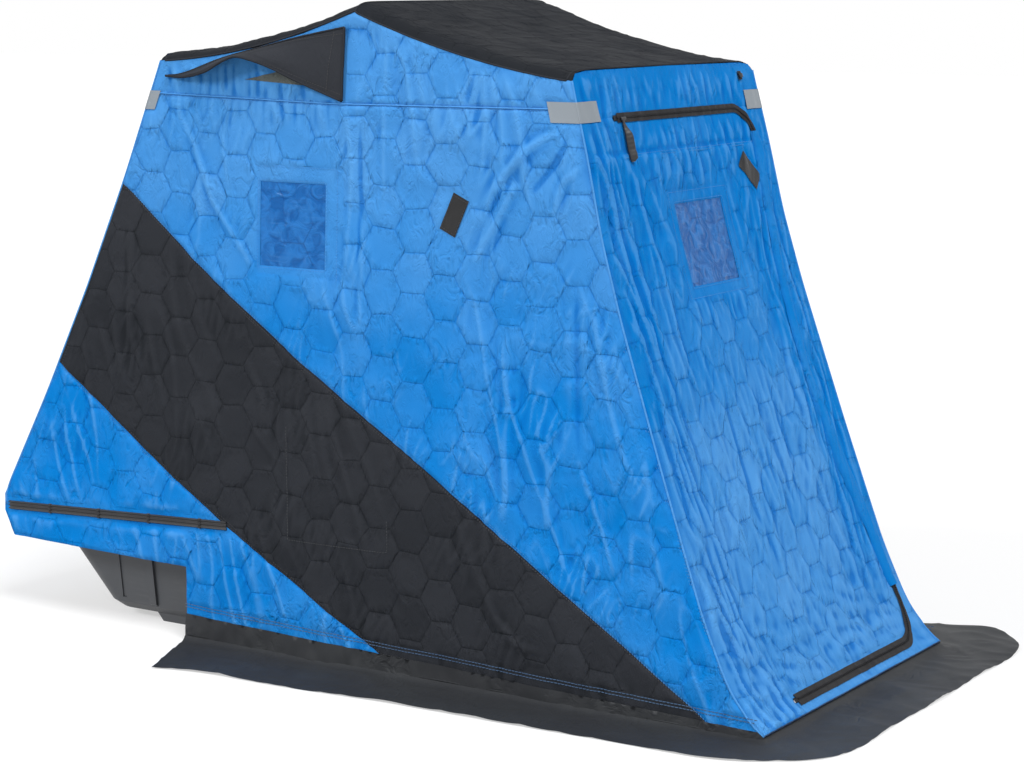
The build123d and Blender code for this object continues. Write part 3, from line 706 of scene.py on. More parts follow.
def relief_of(height, triangles):
    """How far each point stands over the cloth round it: 0 in a hollow, 0.5 on the level and 1 on a crest."""
    starts = triangles.ravel()
    ends = np.roll(triangles, -1, axis=1).ravel()
    both = np.concatenate([starts, ends])
    others = np.concatenate([ends, starts])
    count = np.maximum(np.bincount(both, minlength=len(height)), 1)
    level = height
    result = 0.5
    for rounds, depth in relief_levels:
        for turn in range(rounds):
            level = 0.5 * level + 0.5 * np.bincount(both, level[others], len(height)) / count
        result = result + (height - level) / depth
    return np.clip(result, 0, 1)


def plain_attributes(obj, tone=plain_tone, seam=None):
    """The values that the quilted finish reads, for a piece with no quilting."""
    count = len(obj.data.vertices)
    places = np.array([v.co for v in obj.data.vertices])
    set_attribute(obj, "stitch", np.full(count, far_from_stitch))
    set_attribute(obj, "seam", np.full(count, far_from_stitch) if seam is None else seam)
    set_attribute(obj, "tone", np.full(count, tone))
    set_attribute(obj, "relief", np.full(count, 0.5))
    set_attribute(obj, "cloth", places[:, [0, 2, 1]], "FLOAT_VECTOR")


def cloth(name, wall, regions, material, step=fine_mesh, quilted=1.0, lift=0.0, pull=seam_pull, on_hinge=None):
    """A sheet of cloth on a wall, with its folds and its stuffed hexagons, and the flat size of its cut."""
    flat, triangles = cloth_mesh(regions, step, on_hinge)
    u, v = flat[:, 0], flat[:, 1]
    seams = [line for loops in regions for line in loops]
    if on_hinge is not None:
        pairs = [np.array(pair) for line in seams for pair in zip(line, line[1:])]
        seams = [pair for pair in pairs if not on_hinge(pair).all()]
    seam = edge_distance(flat, seams)
    loose = ease(seam, 0, seam_blend)
    drift = ease(seam, 0, warp_blend) * wall.border(u, v) * quilted
    shifts = [warp_size * noise(u / warp_wave, v / warp_wave, wall.seed + k)
              + wobble_size * noise(u / wobble_wave, v / wobble_wave, wall.seed + k + 2) for k in (10, 11)]
    at_u = u + drift * shifts[0]
    at_v = v + drift * shifts[1]
    stuffed, stitch, tone = quilt(u, v, wall.seed + 9)
    away = pad_distance(wall, at_u, at_v)
    share = wall.quilt_share(at_u, at_v) * quilted * ease(away, 0.002, pad_blend)
    drawn = pull * np.exp(-seam / seam_reach) * wall.border(at_u, at_v)
    folded = fold_height(wall, at_u, at_v, away)
    height = folded + stuffed * share * loose - drawn
    points = wall.place(at_u, at_v) + normals_of(wall, at_u, at_v) * (height + lift)[:, None]
    a, b, c = (points[triangles[:, k]] for k in range(3))
    if (np.cross(b - a, c - a) @ np.array(wall.outward, float)).sum() < 0:
        triangles = triangles[:, ::-1]
    obj = make_object(name, points, triangles, material)
    shown = ease(share, 0.02, 0.2)
    set_attribute(obj, "stitch", stitch + far_from_stitch * (1 - shown))
    set_attribute(obj, "seam", seam)
    # The tone is the cell's random tone plus the wall's painted shade; the relief sets painted shade in hollows
    # and a painted highlight on crests
    own_tone = plain_tone + cell_tone * (tone - 0.5) * shown
    shaded = black_wall_shade if material is black_cloth and isinstance(wall, SideWall) else wall_shade
    set_attribute(obj, "tone", np.clip(own_tone + shaded * wall.shade(at_u, at_v), 0, 1))
    set_attribute(obj, "relief", relief_of(folded + stuffing_shown * stuffed * share, triangles))
    set_attribute(obj, "cloth", np.stack([u, v, np.zeros(len(u))], axis=1), "FLOAT_VECTOR")
    a, b, c = (flat[triangles[:, k]] for k in range(3))
    area = 0.5 * np.abs((b - a)[:, 0] * (c - a)[:, 1] - (b - a)[:, 1] * (c - a)[:, 0]).sum()
    return obj, float(area), flat.max(axis=0) - flat.min(axis=0)


def bare_sheet(name, wall, regions, material, step=plain_mesh, lift=0.0):
    """A sheet with no quilting, which its seams don't draw in."""
    return cloth(name, wall, regions, material, step=step, quilted=0.0, lift=lift, pull=0.0)


def placed(obj, body):
    """Put a piece on its body."""
    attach(obj, body)
    return obj


def declare(made, body):
    """Put a sheet on its body. A body of None leaves it unattached."""
    obj, area, size = made
    if body is not None:
        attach(obj, body)
    return obj


# Small sewn and moulded pieces

def smooth_curve(points, count):
    """Evenly numbered points on a smooth curve through some points."""
    points = np.array(points, float)
    padded = np.vstack([2 * points[0] - points[1], points, 2 * points[-1] - points[-2]])
    result = []
    for at in np.linspace(0, len(points) - 1, count):
        k = min(int(at), len(points) - 2)
        t = at - k
        a, b, c, d = padded[k:k + 4]
        result.append(0.5 * (2 * b + (c - a) * t + (2 * a - 5 * b + 4 * c - d) * t * t
                             + (3 * b - a - 3 * c + d) * t ** 3))
    return np.array(result)


def spread_along(points, step):
    """Points spaced evenly along a line in space."""
    points = np.array(points, float)
    lengths = np.concatenate([[0.0], np.cumsum(np.linalg.norm(np.diff(points, axis=0), axis=1))])
    places = np.linspace(0, lengths[-1], max(2, math.ceil(lengths[-1] / step) + 1))
    return np.stack([np.interp(places, lengths, points[:, k]) for k in range(points.shape[1])], axis=1)


def grid_faces(rows, columns):
    """The faces between the points of a grid, row by row."""
    width = columns + 1
    return [(r * width + c, r * width + c + 1, (r + 1) * width + c + 1, (r + 1) * width + c)
            for r in range(rows) for c in range(columns)]


def tube_faces(rings, around):
    """The faces of a tube of rings, with an end face on the first ring and on the last."""
    faces = [(k * around + m, k * around + (m + 1) % around, (k + 1) * around + (m + 1) % around,
              (k + 1) * around + m) for k in range(rings - 1) for m in range(around)]
    return faces + [tuple(range(around)), tuple(reversed(range((rings - 1) * around, rings * around)))]


def facing(faces, points, outward, sample=0):
    """The faces, turned round if the sample face looks against a direction."""
    a, b, c = (points[corner] for corner in faces[sample][:3])
    if np.cross(b - a, c - a) @ np.array(outward, float) < 0:
        return [face[::-1] for face in faces]
    return faces


def sweep(name, points, outwards, profile, material, smooth=True):
    """A profile of (sideways, outward) places carried along a line in space."""
    points = np.array(points, float)
    outwards = np.broadcast_to(np.array(outwards, float), points.shape)
    along = unit(np.gradient(points, axis=0))
    sideways = unit(np.cross(along, outwards))
    upwards = np.cross(sideways, along)
    rings = [points + sideways * s + upwards * h for s, h in profile]
    corners = np.stack(rings, axis=1).reshape(-1, 3)
    obj = make_object(name, corners, tube_faces(len(points), len(profile)), material, smooth)
    repair = bmesh.new()
    repair.from_mesh(obj.data)
    bmesh.ops.recalc_face_normals(repair, faces=repair.faces)
    repair.to_mesh(obj.data)
    repair.free()
    return obj


def ring_profile(radius, sides=8, flatten=1.0):
    """A round profile, or a flattened one."""
    return [(radius * math.cos(2 * math.pi * k / sides), flatten * radius * math.sin(2 * math.pi * k / sides))
            for k in range(sides)]


def join(name, pieces, body):
    """Join pieces into one object, which rides on a body."""
    bpy.ops.object.select_all(action="DESELECT")
    for piece in pieces:
        piece.select_set(True)
    bpy.context.view_layer.objects.active = pieces[0]
    if len(pieces) > 1:
        bpy.ops.object.join()
    joined = bpy.context.view_layer.objects.active
    joined.name = name
    joined.select_set(False)
    return placed(joined, body)


def stitches(name, rows, material, body, length=0.0052, gap=0.0030, width=0.0007):
    """Rows of thread stitches: each row is a line of places and the way that its cloth faces."""
    corners = []
    faces = []
    for points, outwards in rows:
        both = spread_along(np.hstack([points, np.broadcast_to(outwards, points.shape)]), (length + gap) / 2)
        for start, end in zip(both[0:-1:2], both[1::2]):
            middle = (start[:3] + end[:3]) / 2
            along = end[:3] - start[:3]
            along = along / max(np.linalg.norm(along), 1e-9)
            out = start[3:] / np.linalg.norm(start[3:])
            side = np.cross(along, out) * width
            first = len(corners)
            for reach, rise in ((-0.5, -0.0004), (-0.25, width), (0.25, width), (0.5, -0.0004)):
                corners += [middle + along * length * reach + side + out * rise,
                            middle + along * length * reach - side + out * rise]
            for k in range(3):
                a = first + 2 * k
                faces.append((a, a + 2, a + 3, a + 1))
    placed(make_object(name, corners, faces, material), body)


# Shader groups that more than one material uses

def feed(tree, made, **inputs):
    """Set a node's inputs to values or link them to other nodes' outputs. The input called i2 is number 2."""
    for key, value in inputs.items():
        numbered = key[0] == "i" and key[1:].isdigit()
        socket = made.inputs[int(key[1:]) if numbered else key.replace("_", " ")]
        if isinstance(value, bpy.types.NodeSocket):
            tree.links.new(value, socket)
        else:
            socket.default_value = value


def node(tree, kind, settings=(), **inputs):
    """A shader node with its settings and inputs."""
    made = tree.nodes.new(kind)
    for setting, value in settings:
        setattr(made, setting, value)
    feed(tree, made, **inputs)
    return made


def kept(tree, name, output="Fac"):
    """A value that the mesh keeps at each point."""
    return node(tree, "ShaderNodeAttribute", [("attribute_name", name)]).outputs[output]


def seen_rays(tree):
    """1 for rays that reach the camera straight, by a reflection or through a window, and 0 for others."""
    rays = node(tree, "ShaderNodeLightPath").outputs
    return maths(tree, "MAXIMUM", rays["Is Camera Ray"],
                 maths(tree, "MAXIMUM", rays["Is Glossy Ray"], rays["Is Transmission Ray"]))


def maths(tree, operation, a, b=0.0):
    """One sum on shader values."""
    return node(tree, "ShaderNodeMath", [("operation", operation)], i0=a, i1=b).outputs[0]


def smooth_range(tree, value, low, high, at_low=0.0, at_high=1.0):
    """A smooth step between two values."""
    made = node(tree, "ShaderNodeMapRange", [("interpolation_type", "SMOOTHSTEP")], Value=value, From_Min=low,
                From_Max=high, To_Min=at_low, To_Max=at_high)
    return made.outputs["Result"]


def mixed(tree, share, a, b):
    """A mix of two colours."""
    return node(tree, "ShaderNodeMix", [("data_type", "RGBA")], i0=share, i6=a, i7=b).outputs[2]


def new_group(name, inputs, outputs):
    """An empty shader group: its inputs with their usual values, and its outputs, which are numbers."""
    tree = bpy.data.node_groups.new(name, "ShaderNodeTree")
    for label, value in inputs.items():
        kind = "NodeSocketVector" if isinstance(value, tuple) else "NodeSocketFloat"
        tree.interface.new_socket(name=label, in_out="INPUT", socket_type=kind).default_value = value
    for label in outputs:
        tree.interface.new_socket(name=label, in_out="OUTPUT", socket_type="NodeSocketFloat")
    return tree, tree.nodes.new("NodeGroupInput"), tree.nodes.new("NodeGroupOutput")


def woven_grain():
    """Crossing threads: their height, and a mask of the gaps between them."""
    tree, given, result = new_group("woven_grain", {"Place": (0, 0, 0), "Thread": 0.0012}, ("Height", "Gap"))
    parts = node(tree, "ShaderNodeSeparateXYZ", i0=given.outputs["Place"])
    waves = []
    for axis in (0, 1):
        turns = maths(tree, "DIVIDE", parts.outputs[axis], given.outputs["Thread"])
        waves.append(maths(tree, "SINE", maths(tree, "MULTIPLY", turns, 2 * math.pi)))
    crossing = maths(tree, "MULTIPLY", waves[0], waves[1])
    height = smooth_range(tree, crossing, -1.0, 1.0)
    feed(tree, result, Height=height, Gap=maths(tree, "SUBTRACT", 1.0, height))
    return tree


def soft_creases():
    """Small wrinkles of slack cloth: their height, and a mask of where the cloth is most worked."""
    tree, given, result = new_group("soft_creases", {"Place": (0, 0, 0), "Size": 0.03}, ("Height", "Worked"))
    stretch = node(tree, "ShaderNodeVectorMath", [("operation", "MULTIPLY")], i0=given.outputs["Place"],
                   i1=(1.0, 0.55, 1.0))
    scale = maths(tree, "DIVIDE", 1.0, given.outputs["Size"])
    broad = node(tree, "ShaderNodeTexNoise", Vector=stretch.outputs[0], Scale=scale, Detail=3.0, Roughness=0.55,
                 Distortion=0.8)
    ridge = maths(tree, "ABSOLUTE", maths(tree, "SUBTRACT", broad.outputs["Fac"], 0.5))
    height = smooth_range(tree, ridge, 0.0, 0.22, 1.0, 0.0)
    place = node(tree, "ShaderNodeTexNoise", Vector=given.outputs["Place"],
                 Scale=maths(tree, "MULTIPLY", scale, 0.18), Detail=2.0)
    worked = smooth_range(tree, place.outputs["Fac"], 0.38, 0.66)
    feed(tree, result, Height=maths(tree, "MULTIPLY", height, worked), Worked=worked)
    return tree


def sewn_lines():
    """The quilting's stitched grooves and the rows beside each seam, from distances kept in the mesh."""
    tree, given, result = new_group("sewn_lines", {"Groove Width": 0.004},
                                    ("Groove", "Valley", "Seam", "Tone", "Hollow", "Crest"))
    stitch = kept(tree, "stitch")
    relief = kept(tree, "relief")
    # Tone carries the walls' painted shade; Hollow and Crest mask painted shade in hollows and a painted
    # highlight on crests
    feed(tree, result, Groove=smooth_range(tree, stitch, 0.0, given.outputs["Groove Width"], 1.0, 0.0),
         Valley=smooth_range(tree, stitch, 0.0, 0.020, 1.0, 0.0),
         Seam=smooth_range(tree, kept(tree, "seam"), 0.0, 0.004, 1.0, 0.0), Tone=kept(tree, "tone"),
         Hollow=smooth_range(tree, relief, 0.5, 0.05, 0.0, 1.0),
         Crest=smooth_range(tree, relief, 0.5, 0.95, 0.0, 1.0))
    return tree


def puckers():
    """Short upright wrinkles where thread draws the cloth in."""
    tree, given, result = new_group("puckers", {"Place": (0, 0, 0), "Drawn In": 0.0}, ("Height",))
    stretched = node(tree, "ShaderNodeVectorMath", [("operation", "MULTIPLY")], i0=given.outputs["Place"],
                     i1=(85.0, 24.0, 85.0)).outputs[0]
    wrinkles = node(tree, "ShaderNodeTexNoise", Vector=stretched, Scale=1.0, Detail=2.0, Distortion=0.5)
    ridges = smooth_range(tree, wrinkles.outputs["Fac"], 0.40, 0.66)
    feed(tree, result, Height=maths(tree, "MULTIPLY", ridges, given.outputs["Drawn In"]))
    return tree


def scuffs():
    """Worn and dusty patches on plastic and paint, and the fine grain of the surface."""
    tree, given, result = new_group("scuffs", {"Grain": 0.002}, ("Worn", "Height"))
    place = node(tree, "ShaderNodeTexCoord").outputs["Object"]
    broad = node(tree, "ShaderNodeTexNoise", Vector=place, Scale=7.0, Detail=6.0, Roughness=0.65)
    stretched = node(tree, "ShaderNodeVectorMath", [("operation", "MULTIPLY")], i0=place,
                     i1=(9.0, 140.0, 140.0)).outputs[0]
    lines = node(tree, "ShaderNodeTexNoise", Vector=stretched, Scale=1.0, Detail=3.0)
    worn = maths(tree, "MULTIPLY", smooth_range(tree, broad.outputs["Fac"], 0.45, 0.72),
                 smooth_range(tree, lines.outputs["Fac"], 0.42, 0.70))
    grain = node(tree, "ShaderNodeTexNoise", Vector=place,
                 Scale=maths(tree, "DIVIDE", 1.0, given.outputs["Grain"]), Detail=2.0)
    feed(tree, result, Worn=worn, Height=grain.outputs["Fac"])
    return tree


groups = {"woven_grain": woven_grain(), "soft_creases": soft_creases(), "sewn_lines": sewn_lines(),
          "puckers": puckers(), "scuffs": scuffs()}


def use_group(tree, name, **inputs):
    """Place a shared group in a material."""
    made = tree.nodes.new("ShaderNodeGroup")
    made.node_tree = groups[name]
    feed(tree, made, **inputs)
    return made.outputs


def new_material(name, **constants):
    """A material with its main shader, whose plain numbers are set on the shader's own sockets."""
    material = bpy.data.materials.new(name)
    material.use_nodes = True
    tree = material.node_tree
    shader = tree.nodes["Principled BSDF"]
    for key, value in constants.items():
        shader.inputs[key.replace("_", " ")].default_value = value
    return material, tree, shader


def bump(tree, shader, layers):
    """Chain heights into the shader's normal: each layer is a height and its depth in metres."""
    normal = None
    for height, depth in layers:
        made = node(tree, "ShaderNodeBump", Strength=1.0, Distance=depth, Height=height)
        if normal is not None:
            tree.links.new(normal, made.inputs["Normal"])
        normal = made.outputs["Normal"]
    tree.links.new(normal, shader.inputs["Normal"])


# Materials

def quilted(name, colour, shade, deep, crest, lining, gloss, roughness, crease, thread):
    """Quilted nylon or polyester: stitched grooves, small wrinkles, a fine weave and a darker lining, with
    painted shade from each wall and in hollows, and painted highlights on crests and wrinkle ridges.
    """
    material, tree, shader = new_material(name, Specular_IOR_Level=gloss)
    place = kept(tree, "cloth", "Vector")
    sewn = use_group(tree, "sewn_lines", Groove_Width=0.0036)
    weave = use_group(tree, "woven_grain", Place=place, Thread=thread)
    creased = use_group(tree, "soft_creases", Place=place, Size=0.035)
    fine = use_group(tree, "soft_creases", Place=place, Size=0.012)
    drawn = use_group(tree, "puckers", Place=place, Drawn_In=sewn["Valley"])
    cloud = node(tree, "ShaderNodeTexNoise", Vector=place, Scale=3.2, Detail=3.0).outputs["Fac"]
    # The shade colour is painted shade: the tone mixes it in where each wall's painted shade falls, along with
    # random cloud
    varied = maths(tree, "ADD", maths(tree, "MULTIPLY", sewn["Tone"], 0.75),
                   maths(tree, "MULTIPLY", cloud, 0.35))
    face = mixed(tree, smooth_range(tree, varied, 0.1, 0.95), colour, shade)
    # Painted shade in hollows, and painted highlights on crests and on wrinkle ridges
    for mask, strength, tint in ((sewn["Hollow"], 0.70, deep), (sewn["Crest"], 0.38, crest),
                                 (creased["Height"], 0.16, crest), (sewn["Groove"], 0.24, deep),
                                 (sewn["Seam"], 0.20, deep), (weave["Gap"], 0.12, deep)):
        face = mixed(tree, maths(tree, "MULTIPLY", mask, strength), face, tint)
    back = node(tree, "ShaderNodeNewGeometry").outputs["Backfacing"]
    feed(tree, shader, Base_Color=mixed(tree, back, face, lining),
         Roughness=smooth_range(tree, creased["Worked"], 0.0, 1.0, roughness, roughness + 0.12))
    bump(tree, shader, [(creased["Height"], crease), (fine["Height"], 0.4 * crease),
                        (drawn["Height"], crease), (sewn["Groove"], -0.0009), (weave["Height"], 0.00007)])
    return material


def bare_cloth(name, colour, shade, roughness, sheen, crease, thread):
    """Plain woven cloth or webbing, a little creased."""
    material, tree, shader = new_material(name, Sheen_Weight=sheen, Specular_IOR_Level=0.3)
    place = node(tree, "ShaderNodeTexCoord").outputs["Object"]
    weave = use_group(tree, "woven_grain", Place=place, Thread=thread)
    creased = use_group(tree, "soft_creases", Place=place, Size=0.05)
    cloud = node(tree, "ShaderNodeTexNoise", Vector=place, Scale=5.0, Detail=5.0).outputs["Fac"]
    face = mixed(tree, smooth_range(tree, cloud, 0.3, 0.7), colour, shade)
    face = mixed(tree, maths(tree, "MULTIPLY", weave["Gap"], 0.25), face, (0.0, 0.0, 0.0, 1.0))
    feed(tree, shader, Base_Color=face,
         Roughness=smooth_range(tree, cloud, 0.2, 0.8, roughness, roughness + 0.12))
    bump(tree, shader, [(creased["Height"], crease), (weave["Height"], 0.0001)])
    return material


def hard_surface(name, colour, worn_colour, roughness, grain, depth, metallic=0.0):
    """Moulded plastic or powder coat with scuffs."""
    material, tree, shader = new_material(name, Metallic=metallic)
    marks = use_group(tree, "scuffs", Grain=grain)
    feed(tree, shader,
         Base_Color=mixed(tree, maths(tree, "MULTIPLY", marks["Worn"], 0.6), colour, worn_colour),
         Roughness=smooth_range(tree, marks["Worn"], 0.0, 1.0, roughness, roughness + 0.2))
    bump(tree, shader, [(marks["Height"], depth)])
    return material


def clear_vinyl():
    """A clear, slightly wavy and scratched window."""
    material, tree, shader = new_material("clear_vinyl", Specular_IOR_Level=0.15)
    place = kept(tree, "cloth", "Vector")
    marks = use_group(tree, "scuffs", Grain=0.004)
    waves = node(tree, "ShaderNodeTexNoise", Vector=place, Scale=26.0, Detail=3.0,
                 Distortion=1.2).outputs["Fac"]
    face = mixed(tree, smooth_range(tree, waves, 0.35, 0.65), (0.006, 0.120, 0.430, 1.0),
                 (0.020, 0.185, 0.560, 1.0))
    quilting_behind = smooth_range(tree, kept(tree, "stitch"), 0.050, 0.054, 0.60, 0.0)
    face = mixed(tree, quilting_behind, face, (0.002, 0.055, 0.240, 1.0))
    face = mixed(tree, maths(tree, "MULTIPLY", marks["Worn"], 0.22), face, (0.10, 0.30, 0.62, 1.0))
    feed(tree, shader, Base_Color=face, Roughness=smooth_range(tree, marks["Worn"], 0.0, 1.0, 0.10, 0.35),
         Alpha=smooth_range(tree, waves, 0.3, 0.7, 0.84, 0.94))
    bump(tree, shader, [(waves, 0.006)])
    return material


def mesh_cloth():
    """Fine mesh: threads with open holes between them."""
    material, tree, shader = new_material("vent_mesh", Roughness=0.7)
    weave = use_group(tree, "woven_grain", Place=kept(tree, "cloth", "Vector"), Thread=0.003)
    face = mixed(tree, weave["Height"], (0.080, 0.094, 0.088, 1.0), (0.130, 0.148, 0.138, 1.0))
    feed(tree, shader, Base_Color=face, Alpha=smooth_range(tree, weave["Height"], 0.1, 0.4, 0.55, 1.0))
    bump(tree, shader, [(weave["Height"], 0.0004)])
    return material


def reflective_tape():
    """Grey reflective tape of tiny cells."""
    material, tree, shader = new_material("reflective_tape", Metallic=0.15)
    place = kept(tree, "cloth", "Vector")
    weave = use_group(tree, "woven_grain", Place=place, Thread=0.004)
    creased = use_group(tree, "soft_creases", Place=place, Size=0.03)
    face = mixed(tree, weave["Height"], (0.21, 0.24, 0.27, 1.0), (0.29, 0.33, 0.37, 1.0))
    feed(tree, shader, Base_Color=face, Roughness=smooth_range(tree, weave["Height"], 0.0, 1.0, 0.35, 0.5))
    bump(tree, shader, [(creased["Height"], 0.0008), (weave["Height"], 0.0001)])
    return material


# Each quilted cloth: its colour, its painted shade colour, a deep colour for painted shade in hollows and for
# its grooves, seams and weave gaps, a painted highlight colour for crests, and its lining
blue_cloth = quilted("quilted_blue_cloth", (0.100, 0.340, 0.740, 1.0), (0.002, 0.205, 0.620, 1.0),
                     (0.000, 0.130, 0.500, 1.0), (0.130, 0.410, 0.840, 1.0), (0.010, 0.060, 0.210, 1.0),
                     0.02, 0.50, 0.0030, 0.0011)
black_cloth = quilted("black_cloth", (0.038, 0.041, 0.049, 1.0), (0.017, 0.019, 0.023, 1.0),
                      (0.012, 0.014, 0.017, 1.0), (0.036, 0.039, 0.046, 1.0), (0.010, 0.010, 0.012, 1.0),
                      0.03, 0.62, 0.0020, 0.0013)
skirt_cloth = bare_cloth("skirt_cloth", (0.030, 0.033, 0.037, 1.0), (0.022, 0.024, 0.028, 1.0),
                         0.55, 0.0, 0.0016, 0.0022)
tape_cloth = bare_cloth("zip_tape", (0.014, 0.014, 0.016, 1.0), (0.010, 0.010, 0.012, 1.0),
                        0.6, 0.0, 0.0003, 0.0012)
hook_cloth = bare_cloth("hook_and_loop", (0.020, 0.020, 0.022, 1.0), (0.012, 0.012, 0.013, 1.0),
                        0.85, 0.3, 0.0012, 0.0018)
blue_thread, pale_thread, black_thread = (
    bare_cloth(name, colour, shade, 0.6, 0.1, 0.0001, 0.0006) for name, colour, shade in (
        ("blue_thread", (0.080, 0.330, 0.760, 1.0), (0.040, 0.240, 0.640, 1.0)),
        ("pale_blue_thread", (0.090, 0.170, 0.300, 1.0), (0.060, 0.120, 0.230, 1.0)),
        ("black_thread", (0.062, 0.064, 0.070, 1.0), (0.042, 0.044, 0.048, 1.0))))
sled_plastic = hard_surface("sled_plastic", (0.060, 0.064, 0.072, 1.0), (0.110, 0.114, 0.120, 1.0),
                            0.48, 0.0014, 0.00008)
frame_paint = hard_surface("frame_tube", (0.028, 0.028, 0.030, 1.0), (0.090, 0.088, 0.085, 1.0),
                           0.42, 0.0008, 0.00005)
bracket_paint = hard_surface("bracket_steel", (0.036, 0.036, 0.038, 1.0), (0.130, 0.126, 0.120, 1.0),
                             0.40, 0.0008, 0.00005, 0.2)
band_plastic = hard_surface("band_plastic", (0.018, 0.018, 0.020, 1.0), (0.060, 0.060, 0.062, 1.0),
                            0.45, 0.0010, 0.00005)
window_vinyl = clear_vinyl()
vent_cloth = mesh_cloth()
tape_reflective = reflective_tape()


# The door's hinge line, on the front wall's cloth
hinge = frame["joints"][0]
hinge_axis = np.array(hinge["axis"], float)
hinge_place = np.array(hinge["pos_m"], float)
door_low, door_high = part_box("door_panel")
hinge_play = 0.0015


def hinge_u(v):
    """Where the hinge line runs across the front wall's cloth."""
    z = front_wall.height(v)
    return hinge_place[1] + hinge_axis[1] * (z - hinge_place[2]) / hinge_axis[2]


def on_hinge(points):
    """Which cloth points lie on the hinge line."""
    z = front_wall.height(points[:, 1])
    near = np.abs(points[:, 0] - hinge_u(points[:, 1])) < hinge_play
    return near & (z > door_low[2] - hinge_play) & (z < door_high[2] + 2 * wall_thickness)


def on_line(line):
    """Pull the points beside the hinge onto it, so that the strip and the door share one edge."""
    held = on_hinge(line)
    moved = line.copy()
    moved[held, 0] = hinge_u(line[held, 1])
    return moved


# Smooth places on the walls, under what is sewn on them
side_regions = {side: {piece: regions_of(side_walls[side], [f"{piece}_{side}"])
                       for piece in ("side_header", "side_panel", "side_sash", "side_lower_panel")}
                for side in side_walls}
side_window_pad = rectangle(-0.400, 1.018, -0.130, 1.292)
front_window_pad = rectangle(-0.135, front_wall.v_at(0.985), 0.185, front_wall.v_at(1.250))
side_walls["right"].pads.append(regions_of(side_walls["right"], ["side_hook_patch"])[0][0])
for side in side_walls.values():
    side.pads.append(side_window_pad)
front_wall.pads.append(regions_of(front_wall, ["door_hook_patch"])[0][0])
front_wall.pads.append(front_window_pad)


# Corner reflectors: bands that wrap from the side wall round to the end wall
reflector_low, reflector_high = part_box("corner_reflectors")
reflector_height = 0.050
reflector_legs = ((front_wall, reflector_high[2] - reflector_height, 0.082, 0.090),
                  (rear_wall, reflector_low[2], 0.033, 0.090))
reflector_parts = []
for end_wall, low_z, side_leg, end_leg in reflector_legs:
    high_z = low_z + reflector_height
    low_v, high_v = end_wall.v_at((low_z, high_z))
    low_x, high_x = profile_x(end_wall.profile, (low_z, high_z))
    back = end_wall.way * side_leg
    for side_wall in side_walls.values():
        half = float(half_width(low_z))
        inner = side_wall.side * (half - end_leg)
        outer = side_wall.side * (half + 0.0005)
        reflector_parts.append((end_wall, rectangle(min(inner, outer), low_v, max(inner, outer), high_v)))
        reflector_parts.append((side_wall, np.array([(low_x, low_z), (high_x, high_z), (high_x - back, high_z),
                                                     (low_x - back, low_z), (low_x, low_z)])))
for wall_part, pad in reflector_parts:
    wall_part.pads.append(pad)
for tape in ("frame_zip_tape", "door_zip_tape"):
    front_wall.pads.append(regions_of(front_wall, [tape])[0][0])


# The hut's cloth
piece_cloths = {"side_header": blue_cloth, "side_panel": blue_cloth, "side_sash": black_cloth,
                "side_lower_panel": blue_cloth, "side_valance": blue_cloth}


def wall_sheet(name, wall, node_names, material, body="hut"):
    """One sheet of a wall in place of its solids."""
    made = cloth(name, wall, regions_of(wall, node_names), material)
    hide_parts(*node_names)
    return declare(made, body)


for side_name, side_wall in side_walls.items():
    for piece, material in piece_cloths.items():
        wall_sheet(f"{piece}_cloth_{side_name}", side_wall, [f"{piece}_{side_name}"], material)
for roof_name, roof in roofs.items():
    wall_sheet(f"{roof_name}_cloth", roof, [roof_name], black_cloth)
for piece in ("rear_wall", "rear_header", "rear_valance"):
    wall_sheet(f"{piece}_cloth", rear_wall, [piece], blue_cloth)
for piece in ("front_header", "front_strip_left", "front_sill"):
    wall_sheet(f"{piece}_cloth", front_wall, [piece], blue_cloth)

door_regions = [[on_line(line) for line in loops]
                for loops in regions_of(front_wall, ["front_strip_right", "door_panel"])]
door_made = cloth("door_and_near_strip_cloth", front_wall, door_regions, blue_cloth, on_hinge=on_hinge)
door_cloth = declare(door_made, None)
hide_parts("front_strip_right", "door_panel")
blend_way = np.cross(hinge_axis, (1.0, 0.0, 0.0))
blend_way = blend_way / np.linalg.norm(blend_way)
if blend_way[1] < 0:
    blend_way = -blend_way
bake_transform(door_cloth)


# Windows: wavy vinyl, sewn behind a smooth frame of cloth
def window(name, wall, node_name, body):
    """A clear sheet a little larger than its opening, just behind the cloth."""
    loop = regions_of(wall, [node_name])[0][0]
    low = loop.min(axis=0) - 0.006
    high = loop.max(axis=0) + 0.006
    made = bare_sheet(name, wall, [[rectangle(*low, *high)]], window_vinyl, lift=window_lift)
    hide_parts(node_name)
    placed(made[0], body)
    return loop


for side_name, side_wall in side_walls.items():
    side_opening = window(f"side_window_vinyl_{side_name}", side_wall, f"side_window_{side_name}", "hut")
door_opening = window("door_window_vinyl", front_wall, "door_window", "door")


def corner_line(side_wall, profile, low_z, high_z, count=150):
    """Places up a corner between a side wall and an end wall."""
    z = np.linspace(low_z, high_z, count)
    x = smooth_profile(profile, z)
    return np.stack([x, side_wall.side * half_width(z), z], axis=1)


# Reflectors, patches and zip tapes on the cloth
pieces = []
for number, (wall_part, pad) in enumerate(reflector_parts):
    pieces.append(bare_sheet(f"reflector_{number}", wall_part, [[pad]], tape_reflective, lift=tape_lift)[0])
bend_profile = ring_profile(welt_radius + 0.0008)
for end_wall, low_z in (legs[:2] for legs in reflector_legs):
    for side_wall in side_walls.values():
        line = corner_line(side_wall, end_wall.profile, low_z, low_z + reflector_height, 20)
        corner_way = (end_wall.way, side_wall.side, 0)
        over_welt = sweep("reflector_bend", line, corner_way, bend_profile, tape_reflective)
        plain_attributes(over_welt)
        pieces.append(over_welt)
reflectors = join("corner_reflector_tapes", pieces, "hut")
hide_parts("corner_reflectors")


